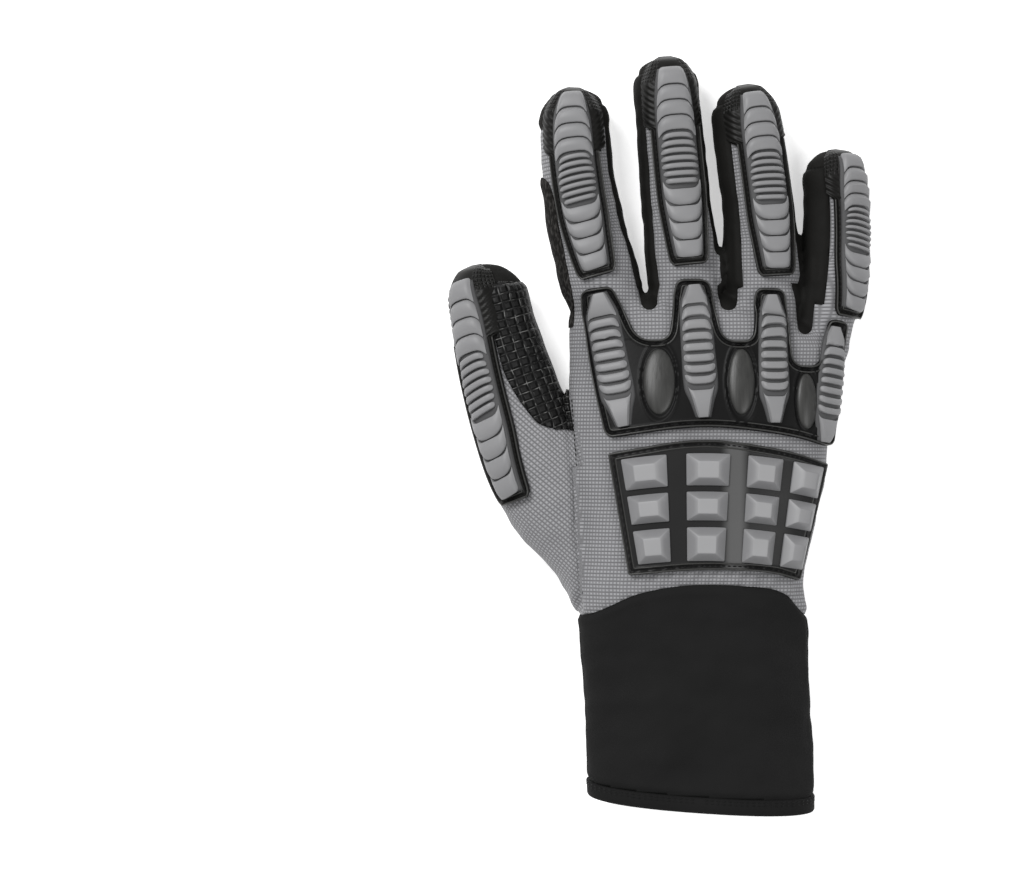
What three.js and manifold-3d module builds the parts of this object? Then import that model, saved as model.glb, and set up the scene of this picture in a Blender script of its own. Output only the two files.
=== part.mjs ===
// A right-hand impact glove lying palm down: a hollow hand of sewn panels, a padded cuff, and rubber
// impact pads along every finger, over the knuckles and over the back of the hand.
// Millimetres. +Z is up from the table, +Y runs to the fingertips, +X to the little finger.
// The origin is on the table, under the middle of the palm's grip patch.
import * as THREE from "three";
import { mergeVertices } from "three/addons/utils/BufferGeometryUtils.js";
import Module from "manifold-3d";

const wasm = await Module();
wasm.setup();

// Driving sizes
const HAND_WIDTH = 110;
const HAND_LENGTH = 210;
const PALM_THICKNESS = 34;
const CUFF_LENGTH = 72;
const FABRIC_WALL = 1.8;
const NEOPRENE_WALL = 3;
const SEAM_GAP = 0.3;
const HEM_HEIGHT = 6;
const HEM_PROUD = 0.5;
const HEM_SLANT = 7.5;
const MOUTH_SLANT = 5;
const WEB_DROP = 13;
const WEB_ROUND = 14;
const PATCH_THICKNESS = 0.7;
const PATCH_GAP = 0.4;
const TAB_WIDTH = 25;
const TAB_THICKNESS = 1.8;
const PAD_GAP = 0.6;
const PAD_BASE = 1.5;
const RIB_GAP = 0.6;
const RIB_HEIGHT = 2.5;
const BLOCK_HEIGHT = 3.6;
const OVERLAY_GAP = 0.6;
const OVERLAY_THICKNESS = 1.1;

// Heights that follow from them
const HAND_FLOOR = PATCH_THICKNESS + PATCH_GAP;
const CUFF_FLOOR = TAB_THICKNESS + PATCH_GAP + HEM_PROUD;
const RIB_FLOOR = PAD_GAP + PAD_BASE + RIB_GAP;
const SIDE_SEAM = HAND_FLOOR + 0.2 * PALM_THICKNESS;
const WEB_SEAM = HAND_FLOOR + 0.46 * PALM_THICKNESS;
const WRIST_Y = -0.323 * HAND_LENGTH;
const PALM_SEAM_Y = -0.293 * HAND_LENGTH;
const WEB_Y = 0.269 * HAND_LENGTH;

// The digits. Plan places are shares of HAND_WIDTH and HAND_LENGTH, widths of HAND_WIDTH and thicknesses of
// PALM_THICKNESS.
// roll turns the back of the digit towards +X, and the back panel reaches from backLeft to backRight,
// all in degrees from straight up.
const DIGITS = [
  { name: "index", rootX: -0.273, rootY: 0.183, bendX: -0.455, bendY: 0.445, tipX: -0.437, tipY: 0.651,
    width: 0.2473, thickness: 0.6559, roll: -5, backLeft: -100, backRight: 62 },
  { name: "middle", rootX: -0.027, rootY: 0.174, bendX: -0.082, bendY: 0.44, tipX: -0.125, tipY: 0.708,
    width: 0.2327, thickness: 0.6324, roll: 8, backLeft: -50, backRight: 68 },
  { name: "ring", rootX: 0.238, rootY: 0.174, bendX: 0.229, bendY: 0.428, tipX: 0.144, tipY: 0.655,
    width: 0.2436, thickness: 0.6412, roll: 16, backLeft: -37, backRight: 71 },
  { name: "little", rootX: 0.427, rootY: 0.174, bendX: 0.509, bendY: 0.374, tipX: 0.452, tipY: 0.535,
    width: 0.2027, thickness: 0.5588, roll: 42, backLeft: -10, backRight: 100 },
  { name: "thumb", rootX: -0.364, rootY: -0.303, bendX: -0.695, bendY: 0.069, tipX: -0.759, tipY: 0.326,
    width: 0.2564, thickness: 0.6765, roll: -42, backLeft: -104, backRight: 78 },
];

// How a digit's width and thickness change from its root to its tip, as shares of its own
const FINGER_FORM = [
  { along: 0, wide: 0.9, high: 1.05 },
  { along: 0.25, wide: 1.1, high: 1.1 },
  { along: 0.5, wide: 1.04, high: 1.03 },
  { along: 0.8, wide: 1, high: 0.98 },
  { along: 1, wide: 0.97, high: 0.92 },
];
const THUMB_FORM = [
  { along: 0, wide: 0.57, high: 0.85 },
  { along: 0.12, wide: 0.66, high: 1 },
  { along: 0.25, wide: 1.1, high: 1.1 },
  { along: 0.4, wide: 1.34, high: 1.15 },
  { along: 0.55, wide: 1.26, high: 1.1 },
  { along: 0.7, wide: 1.15, high: 1.04 },
  { along: 0.85, wide: 1.02, high: 0.98 },
  { along: 1, wide: 0.98, high: 0.93 },
];

// The hand from the webs to the wrist: y is a share of HAND_LENGTH, left and right of HAND_WIDTH, top of
// PALM_THICKNESS
const HAND_FORM = [
  { y: 0.269, left: -0.45, right: 0.545, top: 0.76 },
  { y: 0.207, left: -0.452, right: 0.523, top: 0.8 },
  { y: 0.135, left: -0.455, right: 0.499, top: 0.87 },
  { y: 0.073, left: -0.465, right: 0.48, top: 0.94 },
  { y: 0, left: -0.455, right: 0.453, top: 0.99 },
  { y: -0.073, left: -0.445, right: 0.441, top: 1 },
  { y: -0.147, left: -0.434, right: 0.406, top: 1 },
  { y: -0.22, left: -0.424, right: 0.378, top: 0.98 },
  { y: -0.266, left: -0.42, right: 0.364, top: 0.96 },
  { y: -0.323, left: -0.427, right: 0.378, top: 0.95 },
];

// The cuff below the wrist: down is a share of CUFF_LENGTH, the rest as above
const CUFF_FORM = [
  { down: 0.12, left: -0.42, right: 0.378, top: 0.95 },
  { down: 0.4, left: -0.403, right: 0.385, top: 0.97 },
  { down: 0.7, left: -0.396, right: 0.397, top: 0.99 },
  { down: 1, left: -0.39, right: 0.399, top: 1 },
];

// The ribbed strip of a finger pad, from its far end to the knuckle: blocks that end at share `to` of the
// strip. Scales are high at the edge that their kind says; lean bends a block's edges into an arch or a V.
const FINGER_BLOCKS = [
  { count: 4, to: 0.325, kind: "arch" },
  { count: 7, to: 0.61, kind: "rib" },
  { count: 4, to: 1, kind: "chevron" },
];
const FINGER_STRIP = [
  { along: 0, wide: 0.64 },
  { along: 0.12, wide: 0.86 },
  { along: 0.32, wide: 1 },
  { along: 0.5, wide: 0.97 },
  { along: 0.7, wide: 1 },
  { along: 0.88, wide: 0.84 },
  { along: 1, wide: 0.68 },
];

// Where each finger pad lies on its digit: its start and end as shares of the digit's length from the tip,
// and the strip's half width as a share of the digit's width
const FINGER_PADS = [
  { digit: "index", from: 0.0259, to: 0.711, half: 0.2316 },
  { digit: "middle", from: 0.0444, to: 0.7012, half: 0.2227 },
  { digit: "ring", from: 0.0433, to: 0.7131, half: 0.209 },
  { digit: "little", from: 0.0445, to: 0.7989, half: 0.2332 },
  { digit: "thumb", from: 0.0466, to: 0.6305, half: 0.2234 },
];
const TIP_CAP_LENGTH = 23.5;
const TIP_CAP_ANGLE = 76;
const TIP_CAP_SHOULDER = 4;
const PAD_MARGIN = 3;

// Four ribbed columns on the knuckle pad, from a capped end on the finger to a pointed end on the hand, as
// shares of the hand
const KNUCKLE_COLUMNS = [
  { topX: -0.353, topY: 0.27, endX: -0.267, endY: 0.023, half: 0.0545 },
  { topX: -0.028, topY: 0.285, endX: 0.004, endY: 0.039, half: 0.0545 },
  { topX: 0.245, topY: 0.267, endX: 0.2485, endY: 0.03, half: 0.0473 },
  { topX: 0.467, topY: 0.21, endX: 0.415, endY: -0.004, half: 0.0382 },
];
const COLUMN_BLOCKS = [
  { count: 1, to: 0.19, kind: "arch" },
  { count: 7, to: 0.82, kind: "rib" },
  { count: 1, to: 1, kind: "chevron" },
];
const COLUMN_LIFT = 0.25;
const COLUMN_STRIP = [
  { along: 0, wide: 0.4 },
  { along: 0.19, wide: 0.86 },
  { along: 0.45, wide: 1 },
  { along: 0.82, wide: 0.95 },
  { along: 1, wide: 0.35 },
];

// The knuckle pad's corners, with the radius that rounds each, as shares of the hand and millimetres
const KNUCKLE_OUTLINE = [
  { x: -0.413, y: 0.275, r: 3 },
  { x: -0.312, y: 0.282, r: 3 },
  { x: -0.217, y: 0.182, r: 5.4 },
  { x: -0.112, y: 0.182, r: 4.6 },
  { x: -0.084, y: 0.295, r: 3.5 },
  { x: 0.021, y: 0.295, r: 3.5 },
  { x: 0.077, y: 0.18, r: 5.4 },
  { x: 0.178, y: 0.18, r: 4 },
  { x: 0.193, y: 0.279, r: 3.5 },
  { x: 0.287, y: 0.277, r: 3 },
  { x: 0.318, y: 0.136, r: 4 },
  { x: 0.406, y: 0.134, r: 4 },
  { x: 0.45, y: 0.223, r: 2.7 },
  { x: 0.51, y: 0.218, r: 2.3 },
  { x: 0.452, y: -0.015, r: 4 },
  { x: 0.3, y: 0.009, r: 20 },
  { x: 0, y: 0.027, r: 40 },
  { x: -0.329, y: 0.002, r: 4 },
];

// Three raised ovals between the columns, as shares of the hand
const KNUCKLE_OVALS = [
  { x: -0.147, y: 0.105, halfWide: 0.0545, halfLong: 0.0595 },
  { x: 0.136, y: 0.105, halfWide: 0.0455, halfLong: 0.0595 },
  { x: 0.36, y: 0.07, halfWide: 0.0345, halfLong: 0.05 },
];
const OVAL_HEIGHT = 1.6;

// The hand pad's corners, and its grid of blocks: each column's edges at the top and the foot, and each
// row's edges
const HAND_PAD_OUTLINE = [
  { x: -0.322, y: -0.024, r: 1 },
  { x: 0, y: 0.006, r: 60 },
  { x: 0.3, y: -0.018, r: 20 },
  { x: 0.431, y: -0.042, r: 1 },
  { x: 0.333, y: -0.257, r: 1 },
  { x: 0.235, y: -0.239, r: 15 },
  { x: 0, y: -0.233, r: 40 },
  { x: -0.252, y: -0.246, r: 1 },
];
const BLOCK_COLUMNS = [
  { topLeft: -0.276, topRight: -0.123, footLeft: -0.217, footRight: -0.108 },
  { topLeft: -0.056, topRight: 0.095, footLeft: -0.053, footRight: 0.074 },
  { topLeft: 0.157, topRight: 0.276, footLeft: 0.133, footRight: 0.235 },
  { topLeft: 0.312, topRight: 0.412, footLeft: 0.263, footRight: 0.336 },
];
const BLOCK_ROWS = [
  { top: -0.024, foot: -0.082 },
  { top: -0.093, foot: -0.145 },
  { top: -0.157, foot: -0.218 },
];
const BLOCK_ROW_SAG = 0.15;

// Grip patches on the finger fronts: where each starts and ends from the tip, as shares of the finger's
// length, and the half width as a share of its width
const FINGER_PATCHES = [
  { part: "tip", from: 0.0621, to: 0.2663, roundTip: true },
  { part: "mid", from: 0.2974, to: 0.506, roundTip: false },
];
const PATCH_HALF = 0.29;

// Grip patches on the palm, as corners
const PALM_PATCHES = {
  palm_patch_knuckles: [
    { x: -0.43, y: 0.235, r: 2 }, { x: -0.32, y: 0.25, r: 2 }, { x: -0.27, y: 0.165, r: 5 },
    { x: -0.15, y: 0.165, r: 5 }, { x: -0.13, y: 0.255, r: 2 }, { x: 0.03, y: 0.255, r: 2 },
    { x: 0.06, y: 0.165, r: 5 }, { x: 0.14, y: 0.165, r: 5 }, { x: 0.16, y: 0.245, r: 2 },
    { x: 0.27, y: 0.235, r: 2 }, { x: 0.3, y: 0.145, r: 4 }, { x: 0.38, y: 0.15, r: 4 },
    { x: 0.41, y: 0.06, r: 4 }, { x: 0, y: 0.085, r: 8 }, { x: -0.4, y: 0.06, r: 4 },
  ],
  palm_patch_middle: [
    { x: -0.3, y: 0.035, r: 4 }, { x: 0, y: 0.055, r: 8 }, { x: 0.38, y: 0.035, r: 5 },
    { x: 0.34, y: -0.04, r: 10 }, { x: 0.1, y: -0.1, r: 12 }, { x: -0.28, y: -0.06, r: 4 },
  ],
  palm_patch_heel: [
    { x: 0.36, y: -0.09, r: 4 }, { x: 0.3, y: -0.22, r: 3 }, { x: 0.1, y: -0.22, r: 3 },
    { x: 0.12, y: -0.15, r: 8 },
  ],
  palm_patch_thumb: [
    { x: -0.53, y: 0.06, r: 2 }, { x: -0.44, y: 0, r: 2 }, { x: -0.47, y: -0.08, r: 2 },
    { x: -0.56, y: -0.02, r: 2 },
  ],
};

// The wrist seam on the back, from the thumb side to the little finger side
const WRIST_ARCH = [
  { x: -0.6, y: -0.323 }, { x: -0.43, y: -0.321 }, { x: -0.36, y: -0.312 }, { x: -0.22, y: -0.28 },
  { x: -0.04, y: -0.264 }, { x: 0.22, y: -0.269 }, { x: 0.3, y: -0.283 }, { x: 0.378, y: -0.32 },
  { x: 0.6, y: -0.325 },
];

// The seam between the back panel and the thumb panel, from the thumb's crotch to the wrist
const THUMB_SEAM = [
  { x: -0.475, y: 0.16 }, { x: -0.46, y: 0.05 }, { x: -0.44, y: -0.1 }, { x: -0.42, y: -0.33 },
];

// How finely the curved surfaces are cut
const OUTSIDE = { digitSides: 10, fingerSections: 4, thumbSections: 8, handSides: 18, handSections: 6 };
const INSIDE = { digitSides: 8, fingerSections: 2, thumbSections: 4, handSides: 12, handSections: 3 };
const PAD_SIDES = 6;
const LAYER_COLUMNS = 14;
const LAYER_ROW = 10;
const CORNER_SEGMENTS = 2;

// Number helpers
const clamp = (value, low, high) => Math.min(high, Math.max(low, value));
const mix = (a, b, share) => a + (b - a) * share;
const smooth = (low, high, value) => {
  const share = clamp((value - low) / (high - low), 0, 1);
  return share * share * (3 - 2 * share);
};
const degrees = (value) => (value * Math.PI) / 180;
const steps = (from, to, count) => Array.from({ length: count + 1 }, (_, i) => mix(from, to, i / count));

// Reads one column of a table at a place between its rows, on a curve through them
function read(table, key, place, column) {
  const order = table[0][key] < table[table.length - 1][key] ? table : [...table].reverse();
  const last = order.length - 1;
  if (place <= order[0][key]) return order[0][column];
  if (place >= order[last][key]) return order[last][column];
  const i = order.findIndex((row, n) => n < last && place <= order[n + 1][key]);
  const row = (n) => order[clamp(n, 0, last)];
  const slope = (n) => (row(n + 1)[column] - row(n - 1)[column]) / (row(n + 1)[key] - row(n - 1)[key]);
  const span = row(i + 1)[key] - row(i)[key];
  const t = (place - row(i)[key]) / span;
  return (
    (2 * t ** 3 - 3 * t ** 2 + 1) * row(i)[column] +
    (t ** 3 - 2 * t ** 2 + t) * span * slope(i) +
    (3 * t ** 2 - 2 * t ** 3) * row(i + 1)[column] +
    (t ** 3 - t ** 2) * span * slope(i + 1)
  );
}

// Turns a closed geometry into a solid that can be joined and cut, and back
function solidOf(geometry) {
  const bare = geometry.clone();
  bare.deleteAttribute("normal");
  bare.deleteAttribute("uv");
  const merged = mergeVertices(bare, 1e-4);
  return new wasm.Manifold(
    new wasm.Mesh({
      numProp: 3,
      vertProperties: new Float32Array(merged.attributes.position.array),
      triVerts: new Uint32Array(merged.index.array),
    }),
  );
}

function geometryOf(solid) {
  const mesh = solid.getMesh();
  const geometry = new THREE.BufferGeometry();
  geometry.setAttribute("position", new THREE.BufferAttribute(mesh.vertProperties, 3));
  geometry.setIndex(new THREE.BufferAttribute(mesh.triVerts, 1));
  geometry.computeVertexNormals();
  return geometry;
}

const joined = (solids) => solids.reduce((all, next) => all.add(next));

// Keeps the piece itself and lets go of the crumbs that a cut leaves beside it
const wholePiece = (solid) =>
  solid.decompose().reduce((most, next) => (next.volume() > most.volume() ? next : most));

// A closed solid lofted through rings of an even number of points. Each end is closed by a strip across it.
function loft(rings) {
  const count = rings[0].length;
  const faces = [];
  rings.slice(1).forEach((_, i) => {
    for (let j = 0; j < count; j++) {
      const a = i * count + j;
      const b = i * count + ((j + 1) % count);
      faces.push([a, b, b + count], [a, b + count, a + count]);
    }
  });
  const close = (start, turn) => {
    for (let j = 0; j < count / 2 - 1; j++) {
      const [a, b] = [start + j, start + j + 1];
      const [c, d] = [start + count - 2 - j, start + count - 1 - j];
      faces.push(turn([a, c, b]), turn([a, d, c]));
    }
  };
  close(0, (face) => face);
  close((rings.length - 1) * count, (face) => [...face].reverse());
  const points = rings.flat();
  const volume = faces.reduce(
    (sum, [a, b, c]) => sum + points[a].dot(points[b].clone().cross(points[c])),
    0,
  );
  const facing = volume < 0 ? faces.map((face) => [...face].reverse()) : faces;
  const geometry = new THREE.BufferGeometry().setFromPoints(points);
  geometry.setIndex(facing.flat());
  return solidOf(geometry);
}

// A block that stands on a plan outline, from one height to another
function prism(shape, low, high) {
  const geometry = new THREE.ExtrudeGeometry(shape, {
    depth: high - low,
    bevelEnabled: false,
    curveSegments: CORNER_SEGMENTS,
  });
  return solidOf(geometry.translate(0, 0, low));
}

const place = ({ x, y }) => new THREE.Vector2(x * HAND_WIDTH, y * HAND_LENGTH);

// A plan outline with each corner rounded by its own radius
function roundedShape(corners) {
  const shape = new THREE.Shape();
  corners.forEach((corner, i) => {
    const here = place(corner);
    const before = place(corners[(i + corners.length - 1) % corners.length]);
    const after = place(corners[(i + 1) % corners.length]);
    const cut = (other) => {
      const way = other.clone().sub(here);
      return here.clone().add(way.clone().setLength(Math.min(corner.r, way.length() * 0.45)));
    };
    const [start, end] = [cut(before), cut(after)];
    if (i === 0) shape.moveTo(start.x, start.y);
    else shape.lineTo(start.x, start.y);
    shape.quadraticCurveTo(here.x, here.y, end.x, end.y);
  });
  return shape;
}

const polygon = (points) => new THREE.Shape(points.map(([x, y]) => new THREE.Vector2(x, y)));

// One digit: a flattened tube with a round tip, whose sections stand across a curved spine
class Digit {
  constructor(row) {
    Object.assign(this, row);
    this.width = row.width * HAND_WIDTH;
    this.thickness = row.thickness * PALM_THICKNESS;
    this.form = row.name === "thumb" ? THUMB_FORM : FINGER_FORM;
    const at = (x, y) => new THREE.Vector3(x * HAND_WIDTH, y * HAND_LENGTH, 0);
    this.spine = new THREE.QuadraticBezierCurve3(
      at(row.rootX, row.rootY),
      at(row.bendX, row.bendY),
      at(row.tipX, row.tipY),
    );
    this.length = this.spine.getLength();
    this.tipRadius = (this.width / 2) * this.form[this.form.length - 1].wide;
  }

  // Half width, half height and middle height at a distance from the tip, for a surface lying `inset` inside
  section(fromTip, inset) {
    const along = clamp(1 - fromTip / this.length, 0, 1);
    const wide = (this.width / 2) * read(this.form, "along", along, "wide");
    const high = (this.thickness / 2) * read(this.form, "along", along, "high");
    const round = clamp((this.tipRadius - fromTip) / (this.tipRadius - inset), 0, 1);
    const dome = Math.sqrt(1 - round * round);
    return { half: (wide - inset) * dome, high: (high - inset) * dome, middle: HAND_FLOOR + 0.84 * high };
  }

  // A point of the surface: distance from the tip, angle from straight up, and depth below the surface
  surface(fromTip, angle, inset = 0) {
    const share = clamp(1 - fromTip / this.length, 0, 1);
    const centre = this.spine.getPointAt(share);
    const way = this.spine.getTangentAt(share);
    const { half, high, middle } = this.section(fromTip, inset);
    const across = half * Math.sin(angle);
    const up = middle + high * Math.cos(angle);
    return new THREE.Vector3(
      centre.x + way.y * across,
      centre.y - way.x * across,
      Math.max(up, HAND_FLOOR + inset),
    );
  }

  // A point raised from the surface along its normal
  raised(fromTip, angle, height) {
    const here = this.surface(fromTip, angle);
    const along = this.surface(fromTip + 0.2, angle).sub(this.surface(fromTip - 0.2, angle));
    const around = this.surface(fromTip, angle + 0.02).sub(this.surface(fromTip, angle - 0.02));
    const normal = along.cross(around).normalize();
    return here.addScaledVector(normal, height);
  }

  // The angle that lies a stated distance round from the pad's middle line
  angleAt(fromTip, across) {
    const { half, high } = this.section(Math.max(fromTip, this.tipRadius), 0);
    return degrees(this.roll) + (2 * across) / (half + high);
  }

  solid(inset, { digitSides, fingerSections, thumbSections }) {
    const dome = [0.3, 0.2 * this.tipRadius, 0.55 * this.tipRadius, this.tipRadius];
    const sections = this.name === "thumb" ? thumbSections : fingerSections;
    const body = steps(this.tipRadius, this.length, sections).slice(1);
    const rings = [...dome, ...body].map((fromTip) =>
      Array.from({ length: digitSides }, (_, j) =>
        this.surface(fromTip + inset * Math.max(0, 1 - fromTip / this.tipRadius),
          degrees((360 * (j + 0.5)) / digitSides), inset),
      ),
    );
    return loft(rings);
  }

  // A strip of the digit between two angles and two heights above its surface
  band(stations, angles, low, high, sides) {
    const rings = stations.map((fromTip) => {
      const [from, to] = angles(fromTip);
      const turns = steps(from, to, sides);
      return [
        ...turns.map((angle) => this.raised(fromTip, angle, high)),
        ...turns.reverse().map((angle) => this.raised(fromTip, angle, low)),
      ];
    });
    return loft(rings);
  }

  // The height of its back over a plan point, or the table where it isn't
  topAt(x, y) {
    let [low, high] = [0, 1];
    for (let i = 0; i < 24; i++) {
      const middle = (low + high) / 2;
      if (this.spine.getPoint(middle).y < y) low = middle;
      else high = middle;
    }
    if (high === 1 || low === 0) return 0;
    const centre = this.spine.getPoint(low);
    const way = this.spine.getTangent(low);
    const fromTip = this.length * (1 - low);
    const { half, high: tall, middle } = this.section(fromTip, 0);
    const share = ((x - centre.x) * way.y) / half;
    return Math.abs(share) < 1 ? middle + tall * Math.sqrt(1 - share * share) : 0;
  }
}

const digits = Object.fromEntries(DIGITS.map((row) => [row.name, new Digit(row)]));
const fingers = DIGITS.filter((row) => row.name !== "thumb").map((row) => digits[row.name]);

// The hand and cuff: one tube of rounded sections across Y, whose far end is rounded off at the webs
const bodyRow = (y) => {
  if (y > WRIST_Y) {
    const pick = (column) => read(HAND_FORM, "y", y / HAND_LENGTH, column);
    const cuff = smooth(PALM_SEAM_Y + 14, PALM_SEAM_Y, y);
    return { left: pick("left"), right: pick("right"), top: pick("top"), cuff };
  }
  const wrist = { down: 0, ...HAND_FORM[HAND_FORM.length - 1] };
  const pick = (column) => read([wrist, ...CUFF_FORM], "down", (WRIST_Y - y) / CUFF_LENGTH, column);
  return { left: pick("left"), right: pick("right"), top: pick("top"), cuff: 1 };
};

const webShift = (x, y) =>
  -WEB_DROP * smooth(0.05, 0.52, x / HAND_WIDTH) * smooth(0.05 * HAND_LENGTH, WEB_Y, y);

// The mouth runs at a slant, longer on the little finger side and on the back
const mouthShift = (x, z, y) =>
  smooth(WRIST_Y - 0.4 * CUFF_LENGTH, WRIST_Y - CUFF_LENGTH, y) *
  ((-HEM_SLANT * x) / HAND_WIDTH + MOUTH_SLANT * (0.5 - z / PALM_THICKNESS));

function bodySection(y, inset) {
  const row = bodyRow(y);
  const depth = inset > 0 ? inset * mix(1, NEOPRENE_WALL / FABRIC_WALL, row.cuff) : inset;
  const beyond = clamp((y - (WEB_Y - WEB_ROUND)) / (WEB_ROUND - depth), 0, 1);
  const dome = Math.sqrt(1 - beyond * beyond);
  const floor = mix(HAND_FLOOR, CUFF_FLOOR, row.cuff);
  const top = row.top * PALM_THICKNESS;
  const middle = floor + 0.42 * (top - floor);
  return {
    centre: ((row.left + row.right) / 2) * HAND_WIDTH,
    half: ((row.right - row.left) / 2) * HAND_WIDTH - depth - 0.35 * WEB_ROUND * (1 - dome),
    middle,
    rise: (top - middle - depth) * dome,
    fall: (middle - floor - depth) * dome,
  };
}

const CROWN = 2.3;
const SOLE = 3.4;

function bodyPoint(y, angle, inset) {
  const { centre, half, middle, rise, fall } = bodySection(y, inset);
  const power = Math.cos(angle) > 0 ? CROWN : SOLE;
  const shape = (value) => Math.sign(value) * Math.abs(value) ** (2 / power);
  const x = centre + half * shape(Math.sin(angle));
  const z = middle + (Math.cos(angle) > 0 ? rise : fall) * shape(Math.cos(angle));
  return new THREE.Vector3(x, y + webShift(x, y) + mouthShift(x, z, y), z);
}

function bodySolid(inset, from, to, { handSides, handSections } = OUTSIDE) {
  const round = WEB_ROUND - Math.max(inset, 0);
  const rounded = [0, 0.5, 0.85].map((share) => WEB_Y - WEB_ROUND + share * round);
  const hand = steps(WRIST_Y, WEB_Y - WEB_ROUND, handSections).slice(0, -1);
  const cuff = steps(-CUFF_LENGTH, 0, 3).slice(0, -1).map((down) => WRIST_Y + down);
  const stations = [...cuff, ...hand, ...rounded].filter((y) => y > from && y < to);
  return loft(
    [from, ...stations, ...(to < WEB_Y ? [to] : [WEB_Y - Math.max(inset, 0) - 0.15])].map((y) =>
      Array.from({ length: handSides }, (_, j) =>
        bodyPoint(y, degrees((360 * (j + 0.5)) / handSides), inset),
      ),
    ),
  );
}

function bodyTopAt(x, y) {
  let station = y;
  for (let i = 0; i < 6; i++) station = y - webShift(x, station);
  if (station >= WEB_Y) return 0;
  const { centre, half, middle, rise } = bodySection(station, 0);
  const share = Math.abs(x - centre) / half;
  return share < 1 ? middle + rise * (1 - share ** CROWN) ** (1 / CROWN) : 0;
}

// The back of the hand as one smooth height over the plan, and a point raised from it
const BLEND = 1.2;
function backHeight(x, y) {
  const tops = [bodyTopAt(x, y), ...fingers.map((finger) => finger.topAt(x, y))];
  const most = Math.max(...tops);
  return most + BLEND * Math.log(tops.reduce((sum, top) => sum + Math.exp((top - most) / BLEND), 0));
}

function backPoint(x, y, height) {
  const step = 0.6;
  const slopeX = (backHeight(x + step, y) - backHeight(x - step, y)) / (2 * step);
  const slopeY = (backHeight(x, y + step) - backHeight(x, y - step)) / (2 * step);
  const normal = new THREE.Vector3(-slopeX, -slopeY, 1).normalize();
  return new THREE.Vector3(x, y, backHeight(x, y)).addScaledVector(normal, height);
}

// A sheet over the back of the hand, between two heights above it, cut to a plan outline
function backLayer(outline, low, high) {
  const shape = roundedShape(outline);
  const box = new THREE.Box2().setFromPoints(shape.getPoints(CORNER_SEGMENTS));
  const rows = steps(box.min.y - 1, box.max.y + 1, Math.ceil((box.max.y - box.min.y) / LAYER_ROW));
  const rings = rows.map((y) => {
    const { centre, half } = bodySection(Math.min(y, WEB_Y - WEB_ROUND), 0);
    const turn = (x) => Math.asin(clamp((x - centre) / half, -0.96, 0.96));
    const columns = steps(turn(box.min.x), turn(box.max.x), LAYER_COLUMNS).map(
      (angle) => centre + half * Math.sin(angle),
    );
    return [
      ...columns.map((x) => backPoint(x, y, high)),
      ...columns.reverse().map((x) => backPoint(x, y, low)),
    ];
  });
  return loft(rings).intersect(prism(shape, 0, 3 * PALM_THICKNESS));
}

// A ribbed strip: blocks in a row on a thin web. `spot` gives a point for a distance along and across the
// strip and a height above the pad's base.
function ribbedStrip(spot, length, half, blocks, strip) {
  const web = 0.3 * RIB_HEIGHT;
  const kinds = {
    arch: { high: 0.3, lean: 0.3 },
    rib: { high: 0.5, lean: 0.12 },
    chevron: { high: 0.7, lean: -0.32 },
  };
  const rings = [];
  const ring = (along, height, lean) => {
    const wide = half * read(strip, "along", clamp(along / length, 0, 1), "wide");
    const bend = (share) => clamp(along + lean * wide * share * share, 0, length);
    rings.push([
      spot(bend(1), -wide, 0),
      spot(bend(0.8), -0.8 * wide, height),
      spot(bend(0), 0, height),
      spot(bend(0.8), 0.8 * wide, height),
      spot(bend(1), wide, 0),
      spot(bend(0), 0, 0),
    ]);
  };
  let from = 0;
  for (const { count, to, kind } of blocks) {
    const { high, lean } = kinds[kind];
    const size = ((to - from) * length) / count;
    for (let i = 0; i < count; i++) {
      const start = from * length + i * size;
      ring(start, web, lean);
      ring(start + high * size, RIB_HEIGHT, lean);
    }
    from = to;
  }
  ring(length, web, -0.1);
  return loft(rings);
}

// Rubber pads along the digits: a wide cap over the fingertip that narrows to a strip, and the ribs on it
function fingerPadBase(pad, grow = 0) {
  const d = digits[pad.digit];
  const [from, to, half] = [pad.from * d.length, pad.to * d.length, pad.half * d.width];
  const cap = degrees(TIP_CAP_ANGLE) + grow / d.tipRadius;
  const low = Math.max(degrees(-88), degrees(d.roll) - cap);
  const high = Math.min(degrees(88), degrees(d.roll) + cap);
  const strip = (fromTip) => {
    const share = (fromTip - from) / (to - from);
    const reach = half * read(FINGER_STRIP, "along", clamp(share, 0, 1), "wide") + PAD_MARGIN + grow;
    return [d.angleAt(fromTip, -reach), d.angleAt(fromTip, reach)];
  };
  const cover = (fromTip) => {
    const narrowed = clamp((fromTip - TIP_CAP_LENGTH) / TIP_CAP_SHOULDER, 0, 1);
    const [left, right] = strip(fromTip);
    return [mix(low, left, narrowed), mix(high, right, narrowed)];
  };
  const dome = [0.13, 0.36, 0.66, 1.05].map((share) => share * d.tipRadius);
  const shoulder = steps(TIP_CAP_LENGTH, TIP_CAP_LENGTH + TIP_CAP_SHOULDER, 3);
  const rest = steps(TIP_CAP_LENGTH + TIP_CAP_SHOULDER, to + PAD_MARGIN, 3).slice(1);
  const [bottom, top] = [PAD_GAP - 4 * grow, PAD_GAP + PAD_BASE + 4 * grow];
  return d.band([...dome, ...shoulder, ...rest], cover, bottom, top, PAD_SIDES);
}

function fingerPadRibs(pad) {
  const d = digits[pad.digit];
  const [from, to, half] = [pad.from * d.length, pad.to * d.length, pad.half * d.width];
  const spot = (along, across, height) =>
    d.raised(from + along, d.angleAt(from + along, across), RIB_FLOOR + height);
  return ribbedStrip(spot, to - from, half, FINGER_BLOCKS, FINGER_STRIP);
}

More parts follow.
